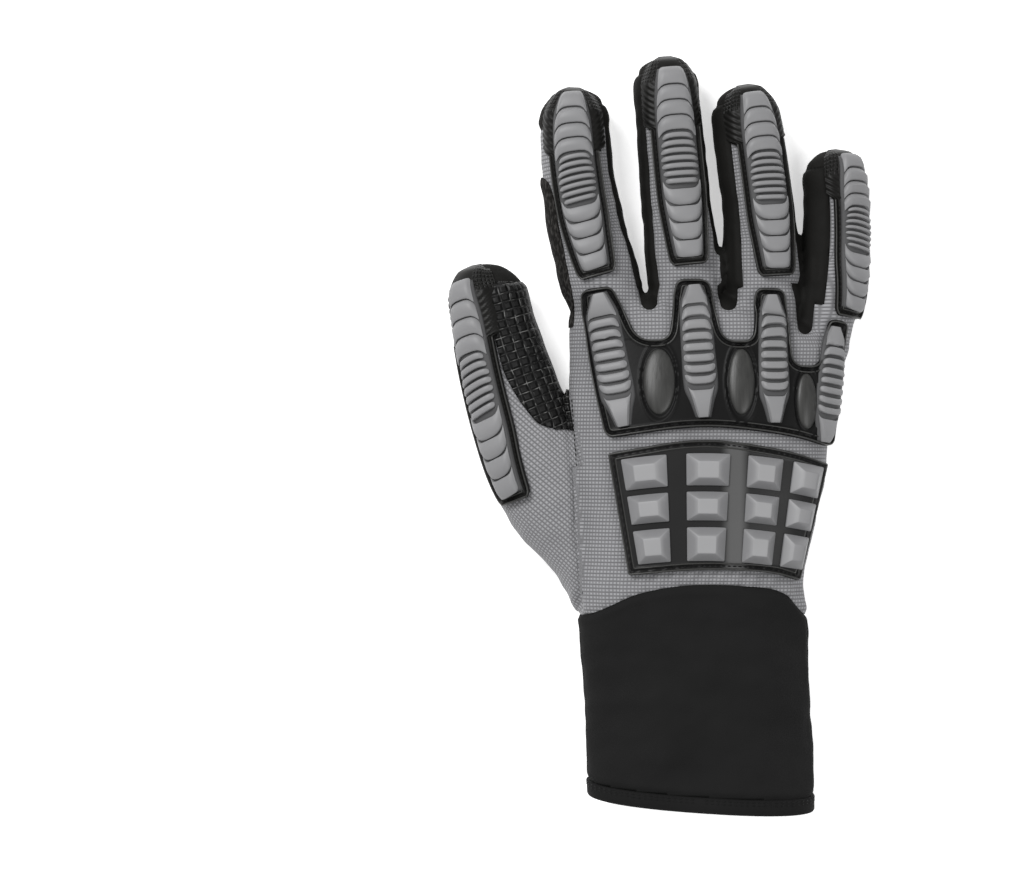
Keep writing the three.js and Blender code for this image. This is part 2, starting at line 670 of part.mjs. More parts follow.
function knuckleColumn({ topX, topY, endX, endY, half }) {
  const top = place({ x: topX, y: topY });
  const end = place({ x: endX, y: endY });
  const way = end.clone().sub(top).normalize();
  const spot = (along, across, height) => {
    const [x, y] = [top.x + way.x * along - way.y * across, top.y + way.y * along + way.x * across];
    return backPoint(x, y, RIB_FLOOR + COLUMN_LIFT + height);
  };
  return ribbedStrip(spot, top.distanceTo(end), half * HAND_WIDTH, COLUMN_BLOCKS, COLUMN_STRIP);
}

// An oval dome, sunk into the knuckle pad's base so that the two are one piece of rubber
function knuckleOval({ x, y, halfWide, halfLong }) {
  const centre = place({ x, y });
  const rings = [0, 0.6, 0.9, 0.985].map((rise) => {
    const spread = Math.sqrt(1 - rise * rise);
    return Array.from({ length: 10 }, (_, j) => {
      const turn = degrees(36 * (j + 0.5));
      return backPoint(
        centre.x + halfWide * HAND_WIDTH * spread * Math.sin(turn),
        centre.y + halfLong * HAND_LENGTH * spread * Math.cos(turn),
        PAD_GAP + 0.5 * PAD_BASE + rise * (0.5 * PAD_BASE + OVAL_HEIGHT),
      );
    });
  });
  return loft(rings);
}

// A block of the hand pad: a low pyramid with its top cut off, bent with the back of the hand
function padBlock(column, row) {
  const [padTop, padFoot] = [BLOCK_ROWS[0].top, BLOCK_ROWS[BLOCK_ROWS.length - 1].foot];
  const corner = (across, down) => {
    const y = mix(row.top, row.foot, down);
    const share = (y - padTop) / (padFoot - padTop);
    const left = mix(column.topLeft, column.footLeft, share);
    const right = mix(column.topRight, column.footRight, share);
    const x = mix(left, right, across);
    return [x * HAND_WIDTH, (y - BLOCK_ROW_SAG * x * x) * HAND_LENGTH];
  };
  const bottom = PAD_GAP + PAD_BASE + SEAM_GAP;
  const ring = (across, inset, rise) => [
    backPoint(...corner(across, 0), bottom),
    backPoint(...corner(across, inset), bottom + rise),
    backPoint(...corner(across, 1 - inset), bottom + rise),
    backPoint(...corner(across, 1), bottom),
  ];
  const rim = 0.2 * BLOCK_HEIGHT;
  return loft([
    ring(0, 0.02, rim),
    ring(0.3, 0.26, BLOCK_HEIGHT),
    ring(0.7, 0.26, BLOCK_HEIGHT),
    ring(1, 0.02, rim),
  ]);
}

// Everything beyond the wrist seam on the cuff's side: an arch across the back, straight across the palm
const BEYOND = 3 * HAND_LENGTH;
function cuffRegion(shift) {
  const arch = WRIST_ARCH.map(place).map(({ x, y }) => [x, y + shift]);
  const curve = new THREE.SplineCurve(arch.map(([x, y]) => new THREE.Vector2(x, y)));
  const line = curve.getPoints(24).map(({ x, y }) => [x, y]);
  const outer = [[HAND_WIDTH, -BEYOND], [-HAND_WIDTH, -BEYOND]];
  const back = prism(polygon([...line, ...outer]), SIDE_SEAM, 3 * PALM_THICKNESS);
  const seam = [[-HAND_WIDTH, PALM_SEAM_Y + shift], [HAND_WIDTH, PALM_SEAM_Y + shift]];
  return back.add(prism(polygon([...seam, ...outer]), -PALM_THICKNESS, SIDE_SEAM));
}

const between = (left, right, foot, top, low, high) =>
  prism(polygon([[left, foot], [right, foot], [right, top], [left, top]]), low, high);

// The hollow hand and cuff, as one skin
const allDigits = Object.values(digits);
const outer = joined([
  bodySolid(0, WRIST_Y - CUFF_LENGTH, BEYOND),
  ...allDigits.map((digit) => digit.solid(0, OUTSIDE)),
]);
const inner = joined([
  bodySolid(FABRIC_WALL, WRIST_Y - CUFF_LENGTH - 2 * HEM_HEIGHT, BEYOND, INSIDE),
  ...allDigits.map((d) => d.solid(FABRIC_WALL, INSIDE)),
]);
const skin = outer.subtract(inner);

// Cutters for the panels. `grow` widens a cutter, so that what is left beside it keeps a seam's gap.
const SEAM_START = 6;
const CUT_HEIGHT = 1.5;
const cutDepth = FABRIC_WALL + 2;
function sideCutter(finger, side, grow) {
  const spread = grow / (finger.width / 2);
  const edge = side < 0 ? degrees(finger.backLeft) + spread : degrees(finger.backRight) - spread;
  const palm = side * (degrees(106) + spread);
  const reach = [SEAM_START - grow, ...steps(finger.tipRadius, finger.length, 2)];
  const webs = { index: 0.72, middle: 0.75, ring: 0.75, little: 0.8 };
  const stations = reach.map((fromTip) => Math.min(fromTip, webs[finger.name] * finger.length + grow));
  const turns = side < 0 ? [palm, edge] : [edge, palm];
  return finger.band([...new Set(stations)], () => turns, -cutDepth - grow, CUT_HEIGHT + grow, 4);
}

function webCutter(left, right, grow) {
  const [from, to] = [left.spine.getPoint(0.22).x, right.spine.getPoint(0.22).x];
  const foot = WEB_Y - 0.45 * WEB_ROUND + webShift((from + to) / 2, WEB_Y);
  const [low, high] = [foot - grow, foot + WEB_ROUND + grow];
  return between(from - grow, to + grow, low, high, SIDE_SEAM - grow, WEB_SEAM + grow);
}

function fourchetteCutter(i, grow) {
  const [left, right] = [fingers[i], fingers[i + 1]];
  return joined([sideCutter(left, 1, grow), sideCutter(right, -1, grow), webCutter(left, right, grow)]);
}

function backCutter(grow) {
  const seam = SIDE_SEAM - grow;
  const hand = between(-HAND_WIDTH, HAND_WIDTH, -BEYOND, WEB_Y + 2 + grow, seam, 3 * PALM_THICKNESS);
  const strips = fingers.map((finger) => {
    const spread = grow / (finger.width / 2);
    const turns = [degrees(finger.backLeft) - spread, degrees(finger.backRight) + spread];
    const stations = [SEAM_START - grow, ...steps(finger.tipRadius, 0.9 * finger.length, 2)];
    return finger.band(stations, () => turns, -cutDepth - grow, CUT_HEIGHT + grow, 6);
  });
  return joined([hand, ...strips]);
}

function thumbCutter(grow) {
  const thumb = digits.thumb;
  const spread = grow / (thumb.width / 2);
  const turns = [degrees(thumb.backLeft) - spread, degrees(thumb.backRight) + spread];
  const stations = [SEAM_START - grow, ...steps(thumb.tipRadius, 0.62 * thumb.length, 2)];
  const strip = thumb.band(stations, () => turns, -cutDepth - grow, CUT_HEIGHT + grow, 8);
  const seam = THUMB_SEAM.map(place).map(({ x, y }) => [x + grow, y]);
  const outline = [...seam, [-HAND_WIDTH, -BEYOND], [-HAND_WIDTH, seam[0][1]]];
  return strip.add(prism(polygon(outline), SIDE_SEAM - grow, 3 * PALM_THICKNESS));
}

const cuffSkin = skin.intersect(cuffRegion(-SEAM_GAP / 2));
const handSkin = skin.subtract(cuffRegion(SEAM_GAP / 2));

// The cuff's two neoprene panels meet high on the little finger's side and low on the thumb's
function cuffBackRegion(grow) {
  const [left, right] = [0.3 * PALM_THICKNESS - grow, 0.62 * PALM_THICKNESS - grow];
  const wedge = polygon([
    [-HAND_WIDTH, left],
    [HAND_WIDTH, right],
    [HAND_WIDTH, 3 * PALM_THICKNESS],
    [-HAND_WIDTH, 3 * PALM_THICKNESS],
  ]);
  const geometry = new THREE.ExtrudeGeometry(wedge, { depth: BEYOND, bevelEnabled: false });
  return solidOf(geometry.rotateX(Math.PI / 2));
}

// The hem is a folded band round the mouth, a little proud of the cuff on both sides
const mouth = WRIST_Y - CUFF_LENGTH;
const hemOuter = bodySolid(-HEM_PROUD, mouth, mouth + HEM_HEIGHT);
const hemInner = bodySolid(FABRIC_WALL + HEM_PROUD, mouth - 1, mouth + HEM_HEIGHT + 1);
const aboveHem = bodySolid(-2 * HEM_PROUD, mouth - 1, mouth + HEM_HEIGHT + SEAM_GAP);
const cuffPanels = cuffSkin.subtract(aboveHem);

const fourchettes = [0, 1, 2].map((i) => fourchetteCutter(i, 0));
const fourchettesGrown = joined([0, 1, 2].map((i) => fourchetteCutter(i, SEAM_GAP)));
const thumbGrown = thumbCutter(SEAM_GAP);
const handPanels = handSkin.subtract(fourchettesGrown);

const pieces = new Map();
const add = (name, material, solid) => pieces.set(name, { material, solid });

add("back_panel", "grey_knit", wholePiece(handPanels.intersect(backCutter(0)).subtract(thumbGrown)));
add("thumb_panel", "grey_knit", wholePiece(handPanels.subtract(backCutter(SEAM_GAP).subtract(thumbGrown))
  .intersect(thumbCutter(0))));
add("palm_panel", "black_leather", wholePiece(handPanels.subtract(backCutter(SEAM_GAP).add(thumbGrown))));
["index_middle", "middle_ring", "ring_little"].forEach((name, i) => {
  add("fourchette_" + name, "black_leather", wholePiece(handSkin.intersect(fourchettes[i])));
});
add("cuff_back", "neoprene", wholePiece(cuffPanels.intersect(cuffBackRegion(0))));
add("cuff_palm", "neoprene", wholePiece(cuffPanels.subtract(cuffBackRegion(SEAM_GAP))));
add("cuff_hem", "neoprene", hemOuter.subtract(hemInner));

// Overlays sewn onto the skin
const clearOfHand = joined([
  bodySolid(-OVERLAY_GAP, WRIST_Y, BEYOND), digits.index.solid(-OVERLAY_GAP, OUTSIDE),
]);
const thumb = digits.thumb;
const overlayTop = OVERLAY_GAP + OVERLAY_THICKNESS;
const saddleStations = [0.36, 0.65, 1].map((share) => share * thumb.tipRadius)
  .concat(steps(thumb.tipRadius, 0.46 * thumb.length, 5).slice(1));
const thumbPad = FINGER_PADS.find(({ digit }) => digit === "thumb");
add("thumb_saddle", "grid_grip", wholePiece(
  thumb.band(saddleStations, () => [degrees(8), degrees(118)], OVERLAY_GAP, overlayTop, 6)
    .subtract(clearOfHand).subtract(fingerPadBase(thumbPad, SEAM_GAP))));
add("thumb_heel_patch", "suede", thumb.band(steps(0.34 * thumb.length, 0.86 * thumb.length, 4),
  () => [degrees(-116), degrees(-141)], OVERLAY_GAP, overlayTop, 2));
const index = digits.index;
add("index_side_patch", "suede", wholePiece(
  index.band(steps(0.32 * index.length, 0.98 * index.length, 6), () => [degrees(-112), degrees(-66)],
    OVERLAY_GAP, overlayTop, 4).subtract(bodySolid(-OVERLAY_GAP, WRIST_Y, BEYOND))));

// The impact pads
for (const pad of FINGER_PADS) {
  add(pad.digit + "_pad_base", "black_rubber", fingerPadBase(pad));
  add(pad.digit + "_pad_ribs", "grey_rubber", fingerPadRibs(pad));
}
const knuckleBase = backLayer(KNUCKLE_OUTLINE, PAD_GAP, PAD_GAP + PAD_BASE);
add("knuckle_pad_base", "black_rubber", joined([knuckleBase, ...KNUCKLE_OVALS.map(knuckleOval)]));
KNUCKLE_COLUMNS.forEach((column, i) => {
  add("knuckle_ribs_" + fingers[i].name, "grey_rubber", knuckleColumn(column));
});
add("hand_pad_base", "black_rubber", backLayer(HAND_PAD_OUTLINE, PAD_GAP, PAD_GAP + PAD_BASE));
BLOCK_ROWS.forEach((row, r) =>
  BLOCK_COLUMNS.forEach((column, c) => {
    add(`hand_block_${r + 1}_${c + 1}`, "grey_rubber", padBlock(column, row));
  }),
);

// Grip patches lie flat under the palm and the fingers
function fingerPatch(finger, { from, to, roundTip }) {
  const half = PATCH_HALF * finger.width;
  const [first, last] = [from * finger.length, to * finger.length];
  const line = (fromTip, across) => {
    const share = 1 - fromTip / finger.length;
    const centre = finger.spine.getPointAt(share);
    const way = finger.spine.getTangentAt(share);
    return [centre.x + way.y * across, centre.y - way.x * across];
  };
  const round = roundTip ? [30, 60, 90, 120, 150] : [];
  const dome = round.map((turn) =>
    line(first + half * (1 - Math.sin(degrees(turn))), -half * Math.cos(degrees(turn))));
  const start = roundTip ? first + half : first;
  const outline = [line(last, -half), line(start, -half), ...dome, line(start, half), line(last, half)];
  return prism(polygon(outline), 0, PATCH_THICKNESS);
}
for (const finger of fingers) {
  for (const patch of FINGER_PATCHES) {
    add(`${finger.name}_patch_${patch.part}`, "gloss_patch", fingerPatch(finger, patch));
  }
}
for (const [name, corners] of Object.entries(PALM_PATCHES)) {
  add(name, "gloss_patch", prism(roundedShape(corners), 0, PATCH_THICKNESS));
}

// The pull tab hangs from the palm's wrist seam, under the cuff, to just short of the back's hem
const tabTop = place({ x: -0.087, y: 0 }).x;
const tabEnd = place({ x: -0.115, y: 0 }).x;
const tabFoot = mouth - MOUTH_SLANT / 2 + 0.5;
add("pull_tab", "grid_grip", prism(polygon([
  [tabTop - TAB_WIDTH / 2, PALM_SEAM_Y], [tabEnd - TAB_WIDTH / 2, tabFoot],
  [tabEnd + TAB_WIDTH / 2, tabFoot], [tabTop + TAB_WIDTH / 2, PALM_SEAM_Y],
]), 0, TAB_THICKNESS));

const materials = {
  grey_knit: new THREE.MeshStandardMaterial({ color: 0x8f8f94, roughness: 0.95, metalness: 0 }),
  black_leather: new THREE.MeshStandardMaterial({ color: 0x1d1c1b, roughness: 0.75, metalness: 0 }),
  neoprene: new THREE.MeshStandardMaterial({ color: 0x1b1b1a, roughness: 0.9, metalness: 0 }),
  grid_grip: new THREE.MeshStandardMaterial({ color: 0x161616, roughness: 0.6, metalness: 0 }),
  suede: new THREE.MeshStandardMaterial({ color: 0x24211d, roughness: 1, metalness: 0 }),
  black_rubber: new THREE.MeshStandardMaterial({ color: 0x222222, roughness: 0.55, metalness: 0 }),
  grey_rubber: new THREE.MeshStandardMaterial({ color: 0x77787d, roughness: 0.6, metalness: 0 }),
  gloss_patch: new THREE.MeshStandardMaterial({ color: 0x0c0d10, roughness: 0.2, metalness: 0 }),
};

const glove = new THREE.Group();
for (const [name, { material, solid }] of pieces) {
  const mesh = new THREE.Mesh(geometryOf(solid), materials[material]);
  mesh.name = name;
  glove.add(mesh);
}

export default glove;
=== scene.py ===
# %% [markdown]
# # An impact glove lying palm down
# The glove is a sewn shell of grey knit and black synthetic leather with a padded neoprene cuff. Moulded rubber
# pads sit on every finger, over the knuckles and over the back of the hand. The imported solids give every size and
# place. This lesson puts real surfaces in their stead: first the soft shell, then the rubber, then small details.

import math

import bpy
import numpy as np
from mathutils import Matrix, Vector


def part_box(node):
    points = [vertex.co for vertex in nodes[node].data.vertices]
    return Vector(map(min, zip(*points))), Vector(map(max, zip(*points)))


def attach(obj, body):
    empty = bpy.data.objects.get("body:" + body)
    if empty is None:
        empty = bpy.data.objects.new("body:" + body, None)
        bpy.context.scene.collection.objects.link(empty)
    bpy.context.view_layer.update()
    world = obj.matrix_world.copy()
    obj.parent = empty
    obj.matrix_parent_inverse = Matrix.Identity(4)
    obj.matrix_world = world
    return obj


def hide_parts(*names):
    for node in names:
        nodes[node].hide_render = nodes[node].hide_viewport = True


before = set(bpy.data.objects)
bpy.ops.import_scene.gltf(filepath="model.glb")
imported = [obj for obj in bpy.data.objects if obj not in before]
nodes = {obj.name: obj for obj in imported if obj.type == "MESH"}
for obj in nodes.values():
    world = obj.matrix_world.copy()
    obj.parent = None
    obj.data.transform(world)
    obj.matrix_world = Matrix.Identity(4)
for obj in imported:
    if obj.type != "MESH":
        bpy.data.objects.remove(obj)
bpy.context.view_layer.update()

# %% [markdown]
# ## The glove's sizes
# Everything is worked out in millimetres and made metres only when a mesh is built. The tables are the ones that
# the solids were made from, so a surface made here lands on its solid: digits as shares of the hand's width and
# length, then how their width and height change, then the hand from the webs to the wrist, and the cuff below.

# %% Sizes
MM = 0.001
HAND_WIDTH, HAND_LENGTH, PALM_THICKNESS, CUFF_LENGTH = 110, 210, 34, 72
FABRIC_WALL, NEOPRENE_WALL = 1.8, 3.0
HEM_HEIGHT, HEM_PROUD, HEM_SLANT, MOUTH_SLANT = 6, 0.5, 7.5, 5
WEB_DROP, WEB_ROUND = 13, 14
PAD_GAP, PAD_BASE, RIB_GAP, RIB_HEIGHT, BLOCK_HEIGHT = 0.6, 1.5, 0.6, 2.5, 3.6
HAND_FLOOR, CUFF_FLOOR = 1.1, 2.7
SIDE_SEAM = HAND_FLOOR + 0.2 * PALM_THICKNESS
WRIST_Y, PALM_SEAM_Y, WEB_Y = -0.323 * HAND_LENGTH, -0.293 * HAND_LENGTH, 0.269 * HAND_LENGTH
MOUTH_Y = WRIST_Y - CUFF_LENGTH
RIB_FLOOR = PAD_GAP + PAD_BASE + RIB_GAP

# name: root, bend and tip in plan, width, thickness, roll, left and right edge of the back panel in degrees
DIGITS = {
    "index": ((-0.273, 0.183), (-0.455, 0.445), (-0.437, 0.651), 27.2, 22.3, -5, -100, 62),
    "middle": ((-0.027, 0.174), (-0.082, 0.44), (-0.125, 0.708), 25.6, 21.5, 8, -50, 68),
    "ring": ((0.238, 0.174), (0.229, 0.428), (0.144, 0.655), 26.8, 21.8, 16, -37, 71),
    "little": ((0.427, 0.174), (0.509, 0.374), (0.452, 0.535), 22.3, 19, 42, -10, 100),
    "thumb": ((-0.364, -0.303), (-0.695, 0.069), (-0.759, 0.326), 28.2, 23, -42, -104, 78),
}
# along, wide, high
FINGER_FORM = [(0, 0.9, 1.05), (0.25, 1.1, 1.1), (0.5, 1.04, 1.03), (0.8, 1, 0.98), (1, 0.97, 0.92)]
THUMB_FORM = [(0, 0.57, 0.85), (0.12, 0.66, 1), (0.25, 1.1, 1.1), (0.4, 1.34, 1.15), (0.55, 1.26, 1.1),
              (0.7, 1.15, 1.04), (0.85, 1.02, 0.98), (1, 0.98, 0.93)]
# y, left, right, top
HAND_FORM = [(0.269, -0.45, 0.545, 0.76), (0.207, -0.452, 0.523, 0.8), (0.135, -0.455, 0.499, 0.87),
             (0.073, -0.465, 0.48, 0.94), (0, -0.455, 0.453, 0.99), (-0.073, -0.445, 0.441, 1),
             (-0.147, -0.434, 0.406, 1), (-0.22, -0.424, 0.378, 0.98), (-0.266, -0.42, 0.364, 0.96),
             (-0.323, -0.427, 0.378, 0.95)]
# down, left, right, top
CUFF_FORM = [(0, -0.427, 0.378, 0.95), (0.12, -0.42, 0.378, 0.95), (0.4, -0.403, 0.385, 0.97),
             (0.7, -0.396, 0.397, 0.99), (1, -0.39, 0.399, 1)]
WRIST_ARCH = [(-0.6, -0.323), (-0.43, -0.321), (-0.36, -0.312), (-0.22, -0.28), (-0.04, -0.264),
              (0.22, -0.269), (0.3, -0.283), (0.378, -0.32), (0.6, -0.325)]
THUMB_SEAM = [(-0.475, 0.16), (-0.46, 0.05), (-0.44, -0.1), (-0.42, -0.33)]


# %% Number helpers
def mix(a, b, share):
    return a + (b - a) * share


def smooth(low, high, value):
    share = np.clip((value - low) / (high - low), 0, 1)
    return share * share * (3 - 2 * share)


def hump(value, centre, width):
    return np.exp(-(((value - centre) / width) ** 2))


def read(table, place, column):
    """One column of a table at a place between its rows, on a curve through them."""
    rows = np.array(table, float)
    if rows[0, 0] > rows[-1, 0]:
        rows = rows[::-1]
    keys, values = rows[:, 0], rows[:, column]
    place = np.clip(np.asarray(place, float), keys[0], keys[-1])
    i = np.clip(np.searchsorted(keys, place) - 1, 0, len(keys) - 2)
    before, after = np.maximum(i - 1, 0), np.minimum(i + 2, len(keys) - 1)
    start = (values[i + 1] - values[before]) / (keys[i + 1] - keys[before])
    end = (values[after] - values[i]) / (keys[after] - keys[i])
    span = keys[i + 1] - keys[i]
    t = (place - keys[i]) / span
    return ((2 * t**3 - 3 * t**2 + 1) * values[i] + (t**3 - 2 * t**2 + t) * span * start
            + (3 * t**2 - 2 * t**3) * values[i + 1] + (t**3 - t**2) * span * end)


# %% [markdown]
# ## Digits as surfaces
# A finger of a glove is a flattened tube with a round tip. Its spine is one bend from the knuckle to the tip, and
# every place on it is told by a distance from the tip and an angle from straight up. Pads, patches and seams then
# need no numbers of their own for the finger's tilt or taper. The same rule works backwards: a point of the shell
# is given its distance and angle, which is how seams are found later.

# %% Digit surfaces
class Digit:
    def __init__(self, name):
        root, bend, tip, self.width, self.thickness, roll, left, right = DIGITS[name]
        self.name, self.roll = name, math.radians(roll)
        self.left, self.right = math.radians(left), math.radians(right)
        self.form = THUMB_FORM if name == "thumb" else FINGER_FORM
        self.ends = [np.array([x * HAND_WIDTH, y * HAND_LENGTH]) for x, y in (root, bend, tip)]
        self.times = np.linspace(0, 1, 401)
        self.line = self.at(self.times)
        steps = np.linalg.norm(np.diff(self.line, axis=0), axis=1)
        self.lengths = np.concatenate([[0], np.cumsum(steps)])
        self.length = self.lengths[-1]
        self.tip_radius = self.width / 2 * self.form[-1][1]

    def at(self, t):
        a, b, c = self.ends
        t = np.asarray(t, float)[..., None]
        return (1 - t) ** 2 * a + 2 * t * (1 - t) * b + t * t * c

    def way(self, t):
        a, b, c = self.ends
        t = np.asarray(t, float)[..., None]
        run = 2 * (1 - t) * (b - a) + 2 * t * (c - b)
        return run / np.linalg.norm(run, axis=-1, keepdims=True)

    def time(self, from_tip):
        return np.interp(self.length - np.asarray(from_tip, float), self.lengths, self.times)

    def size(self, from_tip):
        """Half width, half height and middle height, leaving out the round tip."""
        along = np.clip(1 - np.asarray(from_tip, float) / self.length, 0, 1)
        wide = self.width / 2 * read(self.form, along, 1)
        high = self.thickness / 2 * read(self.form, along, 2)
        return wide, high, HAND_FLOOR + 0.84 * high

    def roundness(self, from_tip):
        return np.clip((self.tip_radius - from_tip) / self.tip_radius, 0, 1)

    def surface(self, from_tip, angle):
        t = self.time(from_tip)
        centre, way = self.at(t), self.way(t)
        wide, high, middle = self.size(from_tip)
        dome = np.sqrt(1 - self.roundness(from_tip) ** 2)
        across = wide * dome * np.sin(angle)
        up = np.maximum(middle + high * dome * np.cos(angle), HAND_FLOOR)
        return np.stack([centre[..., 0] + way[..., 1] * across, centre[..., 1] - way[..., 0] * across, up], -1)

    def raised(self, from_tip, angle, height):
        """A point above the surface, along its normal."""
        from_tip, angle, height = np.broadcast_arrays(*[np.asarray(v, float) for v in (from_tip, angle, height)])
        along = self.surface(from_tip + 0.2, angle) - self.surface(np.maximum(from_tip - 0.2, 0.01), angle)
        around = self.surface(from_tip, angle + 0.02) - self.surface(from_tip, angle - 0.02)
        normal = np.cross(along, around)
        normal /= np.linalg.norm(normal, axis=-1, keepdims=True)
        return self.surface(from_tip, angle) + normal * height[..., None]

    def radius(self, from_tip):
        wide, high, _ = self.size(np.maximum(from_tip, self.tip_radius))
        return (wide + high) / 2

    def angle_at(self, from_tip, across):
        return self.roll + across / self.radius(from_tip)

    def find(self, points):
        """Distance from the tip, angle from straight up, and share of the radius, of points near the digit."""
        found = np.tile([999.0, 0.0, 9.0], (len(points), 1))
        low, high = self.line.min(0) - 30, self.line.max(0) + 30
        near = np.nonzero(((points[:, :2] > low) & (points[:, :2] < high)).all(1))[0]
        for part in np.array_split(near, max(1, len(near) // 15000)):
            spots = points[part]
            gaps = ((spots[:, None, :2] - self.line[None, ::2]) ** 2).sum(2)
            t = self.times[::2][gaps.argmin(1)]
            centre, way = self.at(t), self.way(t)
            away = spots[:, :2] - centre
            along = np.interp(t, self.times, self.lengths) + (away * way).sum(1)
            from_tip = self.length - along
            across = away[:, 0] * way[:, 1] - away[:, 1] * way[:, 0]
            wide, tall, middle = self.size(np.maximum(from_tip, 0))
            side, up = across / wide, (spots[:, 2] - middle) / tall
            share = np.sqrt(side**2 + up**2 + self.roundness(from_tip) ** 2)
            found[part] = np.stack([from_tip, np.arctan2(side, up), share], 1)
        return found

    def top_at(self, x, y):
        """The height of its back over a plan point, or the table where it isn't."""
        t = np.interp(y, self.line[:, 1], self.times)
        centre, way = self.at(t), self.way(t)
        wide, tall, middle = self.size(self.length * (1 - t))
        dome = np.sqrt(1 - self.roundness(self.length * (1 - t)) ** 2)
        share = (x - centre[..., 0]) * way[..., 1] / np.maximum(wide * dome, 1e-6)
        inside = (np.abs(share) < 1) & (y > self.line[0, 1]) & (y < self.line[-1, 1])
        return np.where(inside, middle + tall * dome * np.sqrt(np.clip(1 - share**2, 0, 1)), 0)


digits = {name: Digit(name) for name in DIGITS}
fingers = [digits[name] for name in ("index", "middle", "ring", "little")]
thumb = digits["thumb"]
print({name: round(float(digit.length), 1) for name, digit in digits.items()})

# %% [markdown]
# ## The hand and cuff as a surface
# The hand and cuff are one flattened tube: sections stand across the hand, rounder above than below. Its far end
# curls over into the webs between the fingers, and its mouth runs at a slant. Over the back, hand and fingers
# blend into one smooth height, and the knuckle pad and the hand pad are laid on that height.


# %% Sections of the hand and cuff
def body_row(y):
    hand = [read(HAND_FORM, y / HAND_LENGTH, column) for column in (1, 2, 3)]
    cuff = [read(CUFF_FORM, (WRIST_Y - y) / CUFF_LENGTH, column) for column in (1, 2, 3)]
    left, right, top = [np.where(y > WRIST_Y, a, b) for a, b in zip(hand, cuff)]
    return left, right, top, smooth(PALM_SEAM_Y + 14, PALM_SEAM_Y, y)


def web_shift(x, y):
    return -WEB_DROP * smooth(0.05, 0.52, x / HAND_WIDTH) * smooth(0.05 * HAND_LENGTH, WEB_Y, y)


def mouth_shift(x, z, y):
    share = smooth(WRIST_Y - 0.4 * CUFF_LENGTH, WRIST_Y - CUFF_LENGTH, y)
    return share * (-HEM_SLANT * x / HAND_WIDTH + MOUTH_SLANT * (0.5 - z / PALM_THICKNESS))


def body_section(y, depth=0):
    left, right, top, cuff = body_row(y)
    beyond = np.clip((y - (WEB_Y - WEB_ROUND)) / WEB_ROUND, 0, 1)
    dome = np.sqrt(1 - beyond**2)
    floor = mix(HAND_FLOOR, CUFF_FLOOR, cuff)
    middle = floor + 0.42 * (top * PALM_THICKNESS - floor)
    half = (right - left) / 2 * HAND_WIDTH - depth - 0.35 * WEB_ROUND * (1 - dome)
    rise = (top * PALM_THICKNESS - middle - depth) * dome
    return (left + right) / 2 * HAND_WIDTH, half, middle, rise, (middle - floor - depth) * dome


def body_point(y, angle, depth=0):
    y, angle, depth = np.broadcast_arrays(*[np.asarray(v, float) for v in (y, angle, depth)])
    centre, half, middle, rise, fall = body_section(y, depth)
    up = np.cos(angle) > 0
    power = np.where(up, 2 / 2.3, 2 / 3.4)
    x = centre + half * np.sign(np.sin(angle)) * np.abs(np.sin(angle)) ** power
    z = middle + np.where(up, rise, fall) * np.sign(np.cos(angle)) * np.abs(np.cos(angle)) ** power
    return np.stack([x, y + web_shift(x, y) + mouth_shift(x, z, y), z], -1)


print("palm at its middle", body_point(0, math.pi).round(1), "back", body_point(0, 0).round(1))

# %% Heights over the back of the hand
# how far hand and fingers blend, the step a slope is taken over, the steepest fall and how far in it starts
BLEND, SLOPE_STEP, EDGE_SLOPE, EDGE_REACH = 1.2, 0.6, 1.2, 9


def shell_height(x, y):
    """The height of the glove's back over a plan point, where hand and fingers blend into one another."""
    station = np.array(y, float)
    for _ in range(6):
        station = y - web_shift(x, station)
    centre, half, middle, rise, _ = body_section(station)
    share = np.clip(np.abs(x - centre) / half, 0, 1)
    hand = np.where((share < 1) & (station < WEB_Y), middle + rise * (1 - share**2.3) ** (1 / 2.3), 0)
    tops = np.stack([hand, *[finger.top_at(x, y) for finger in fingers]])
    most = tops.max(0)
    return most + BLEND * np.log(np.exp((tops - most) / BLEND).sum(0))


def back_height(x, y):
    """The height that pads are laid on. It falls over the sides of the hand no steeper than rubber bends."""
    x, y = np.broadcast_arrays(np.asarray(x, float), np.asarray(y, float))
    steps = np.arange(0, EDGE_REACH, 0.75)
    return np.max([shell_height(x - np.sign(x) * step, y) - EDGE_SLOPE * step for step in steps], axis=0)


def back_point(x, y, height):
    """A point above the back of the hand, along its normal."""
    x, y, height = np.broadcast_arrays(*[np.asarray(v, float) for v in (x, y, height)])
    slope_x = (back_height(x + SLOPE_STEP, y) - back_height(x - SLOPE_STEP, y)) / (2 * SLOPE_STEP)
    slope_y = (back_height(x, y + SLOPE_STEP) - back_height(x, y - SLOPE_STEP)) / (2 * SLOPE_STEP)
    normal = np.stack([-slope_x, -slope_y, np.ones_like(x)], -1)
    normal /= np.linalg.norm(normal, axis=-1, keepdims=True)
    return np.stack([x, y, back_height(x, y)], -1) + normal * height[..., None]


print("height of the back at the knuckles", back_height(0, 30).round(1))

# %% [markdown]
# ## Finishes
# Each finish is one Principled material. What several of them share is a node group: a fine grain with broad
# patches, and a pattern of square cells for knit, grip cloth and moulded dots. Cloth patterns are counted in
# millimetres on a map that follows the cloth, so that the knit keeps its size round the fingers.


# %% Node helpers
def wire(tree, socket, value):
    if isinstance(value, bpy.types.NodeSocket):
        tree.links.new(value, socket)
    else:
        socket.default_value = value


def node(tree, kind, inputs, **settings):
    made = tree.nodes.new(kind)
    for key, value in settings.items():
        setattr(made, key, value)
    for key, value in inputs.items():
        wire(tree, made.inputs[key], value)
    return made


def calc(tree, operation, *values):
    return node(tree, "ShaderNodeMath", dict(enumerate(values)), operation=operation).outputs[0]


